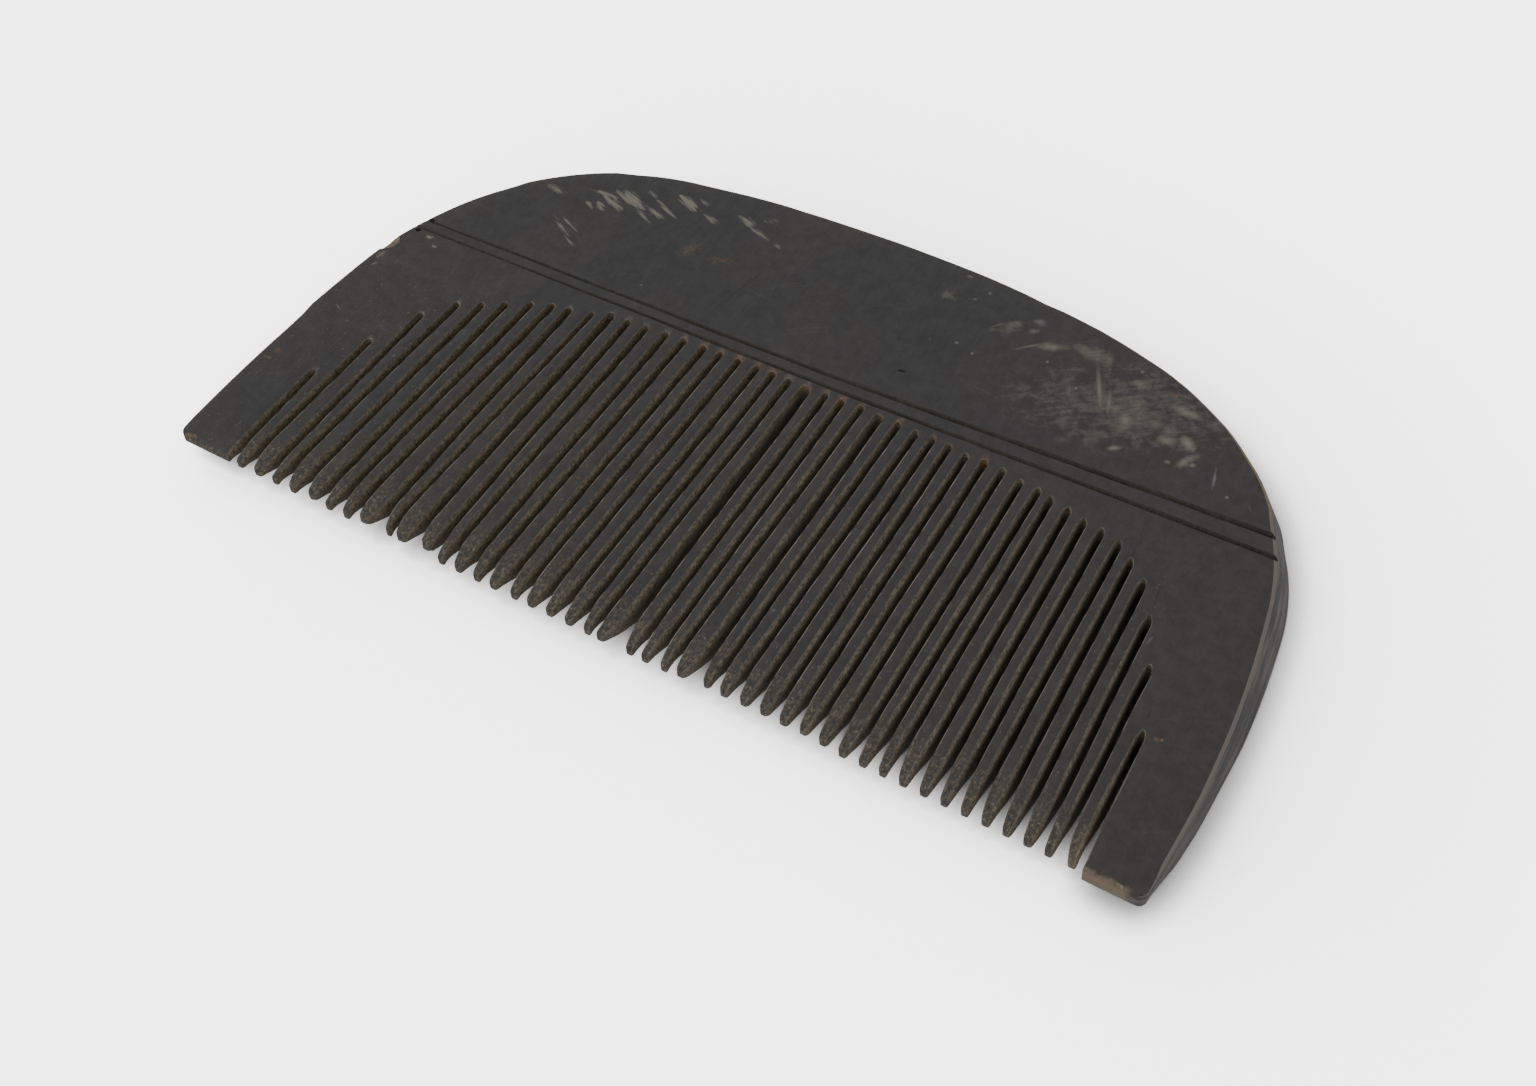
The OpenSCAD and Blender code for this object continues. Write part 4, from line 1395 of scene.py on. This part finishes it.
class COMB_OT_stage(Operator):
    """Sets the floor, the soft light and the camera"""
    bl_idname = "comb.stage"
    bl_label = "Set the stage"

    def execute(self, context):
        look = context.scene.comb_stage
        self.floor(look)
        self.light(context, look)
        self.camera(context, look)
        return {"FINISHED"}

    def floor(self, look):
        """A wide sheet of paper under the comb."""
        deselect()
        bpy.ops.mesh.primitive_plane_add(size=FLOOR_SIZE)
        floor = new_object("floor")
        floor.data.materials.append(floor_paper(look))

    def light(self, context, look):
        """Even light all round, and one large soft light that shines on the comb."""
        world = bpy.data.worlds.new("soft_room")
        world.use_nodes = True
        feed(world.node_tree, world.node_tree.nodes["Background"], {0: (1, 1, 1, 1), 1: look.fill})
        context.scene.world = world
        deselect()
        turn = Vector(LIGHT_PLACE).normalized().to_track_quat("Z", "Y").to_euler()
        bpy.ops.object.light_add(type="AREA", radius=LIGHT_SIZE, location=LIGHT_PLACE,
                                 rotation=turn)
        light = bpy.context.object
        light.name = "key_light"
        light.data.shape = "DISK"
        light.data.size = LIGHT_SIZE
        light.data.energy = look.key

    def camera(self, context, look):
        """The camera of the photo, turned by its azimuth, its elevation and then its roll."""
        a, e = look.azimuth, look.elevation
        back = Vector((math.sin(a) * math.cos(e), -math.cos(a) * math.cos(e), math.sin(e)))
        right = Vector((0, 0, 1)).cross(back).normalized()
        up = back.cross(right)
        c, s = math.cos(look.roll), math.sin(look.roll)
        turn = Matrix((c * right + s * up, -s * right + c * up, back)).transposed()
        bpy.ops.object.camera_add(location=CAMERA_PLACE, rotation=turn.to_euler())
        camera = bpy.context.object
        camera.data.lens = look.lens
        camera.data.sensor_width = SENSOR_W
        camera.data.clip_start = NEAREST
        context.scene.camera = camera


class COMB_PT_panel(Panel):
    """Lists the comb's sizes, finishes and steps"""
    bl_label = "Comb"
    bl_space_type = "VIEW_3D"
    bl_region_type = "UI"
    bl_category = "Comb"

    def draw(self, context):
        for step in OPERATORS:
            self.layout.operator(step.bl_idname)
        for name in SETTINGS:
            group = getattr(context.scene, name)
            box = self.layout.box()
            for prop in group.bl_rna.properties:
                if prop.identifier not in ("rna_type", "name"):
                    box.prop(group, prop.identifier)


OPERATORS = (COMB_OT_finishes, COMB_OT_body, COMB_OT_stage)
SETTINGS = {"comb_board": BoardSizes, "comb_cuts": CutSizes, "comb_wood": WoodFinish,
            "comb_stage": StageLook}
CLASSES = (*SETTINGS.values(), *OPERATORS, COMB_PT_panel)


def register():
    """Adds the classes and the scene's settings."""
    for cls in CLASSES:
        bpy.utils.register_class(cls)
    for name, cls in SETTINGS.items():
        setattr(bpy.types.Scene, name, PointerProperty(type=cls))


def unregister():
    """Takes the settings and the classes away again."""
    for name in SETTINGS:
        delattr(bpy.types.Scene, name)
    for cls in reversed(CLASSES):
        bpy.utils.unregister_class(cls)


def main():
    """Builds the scene step by step."""
    register()
    bpy.ops.comb.finishes()
    bpy.ops.comb.body()
    bpy.ops.comb.stage()


if __name__ == "__main__":
    main()
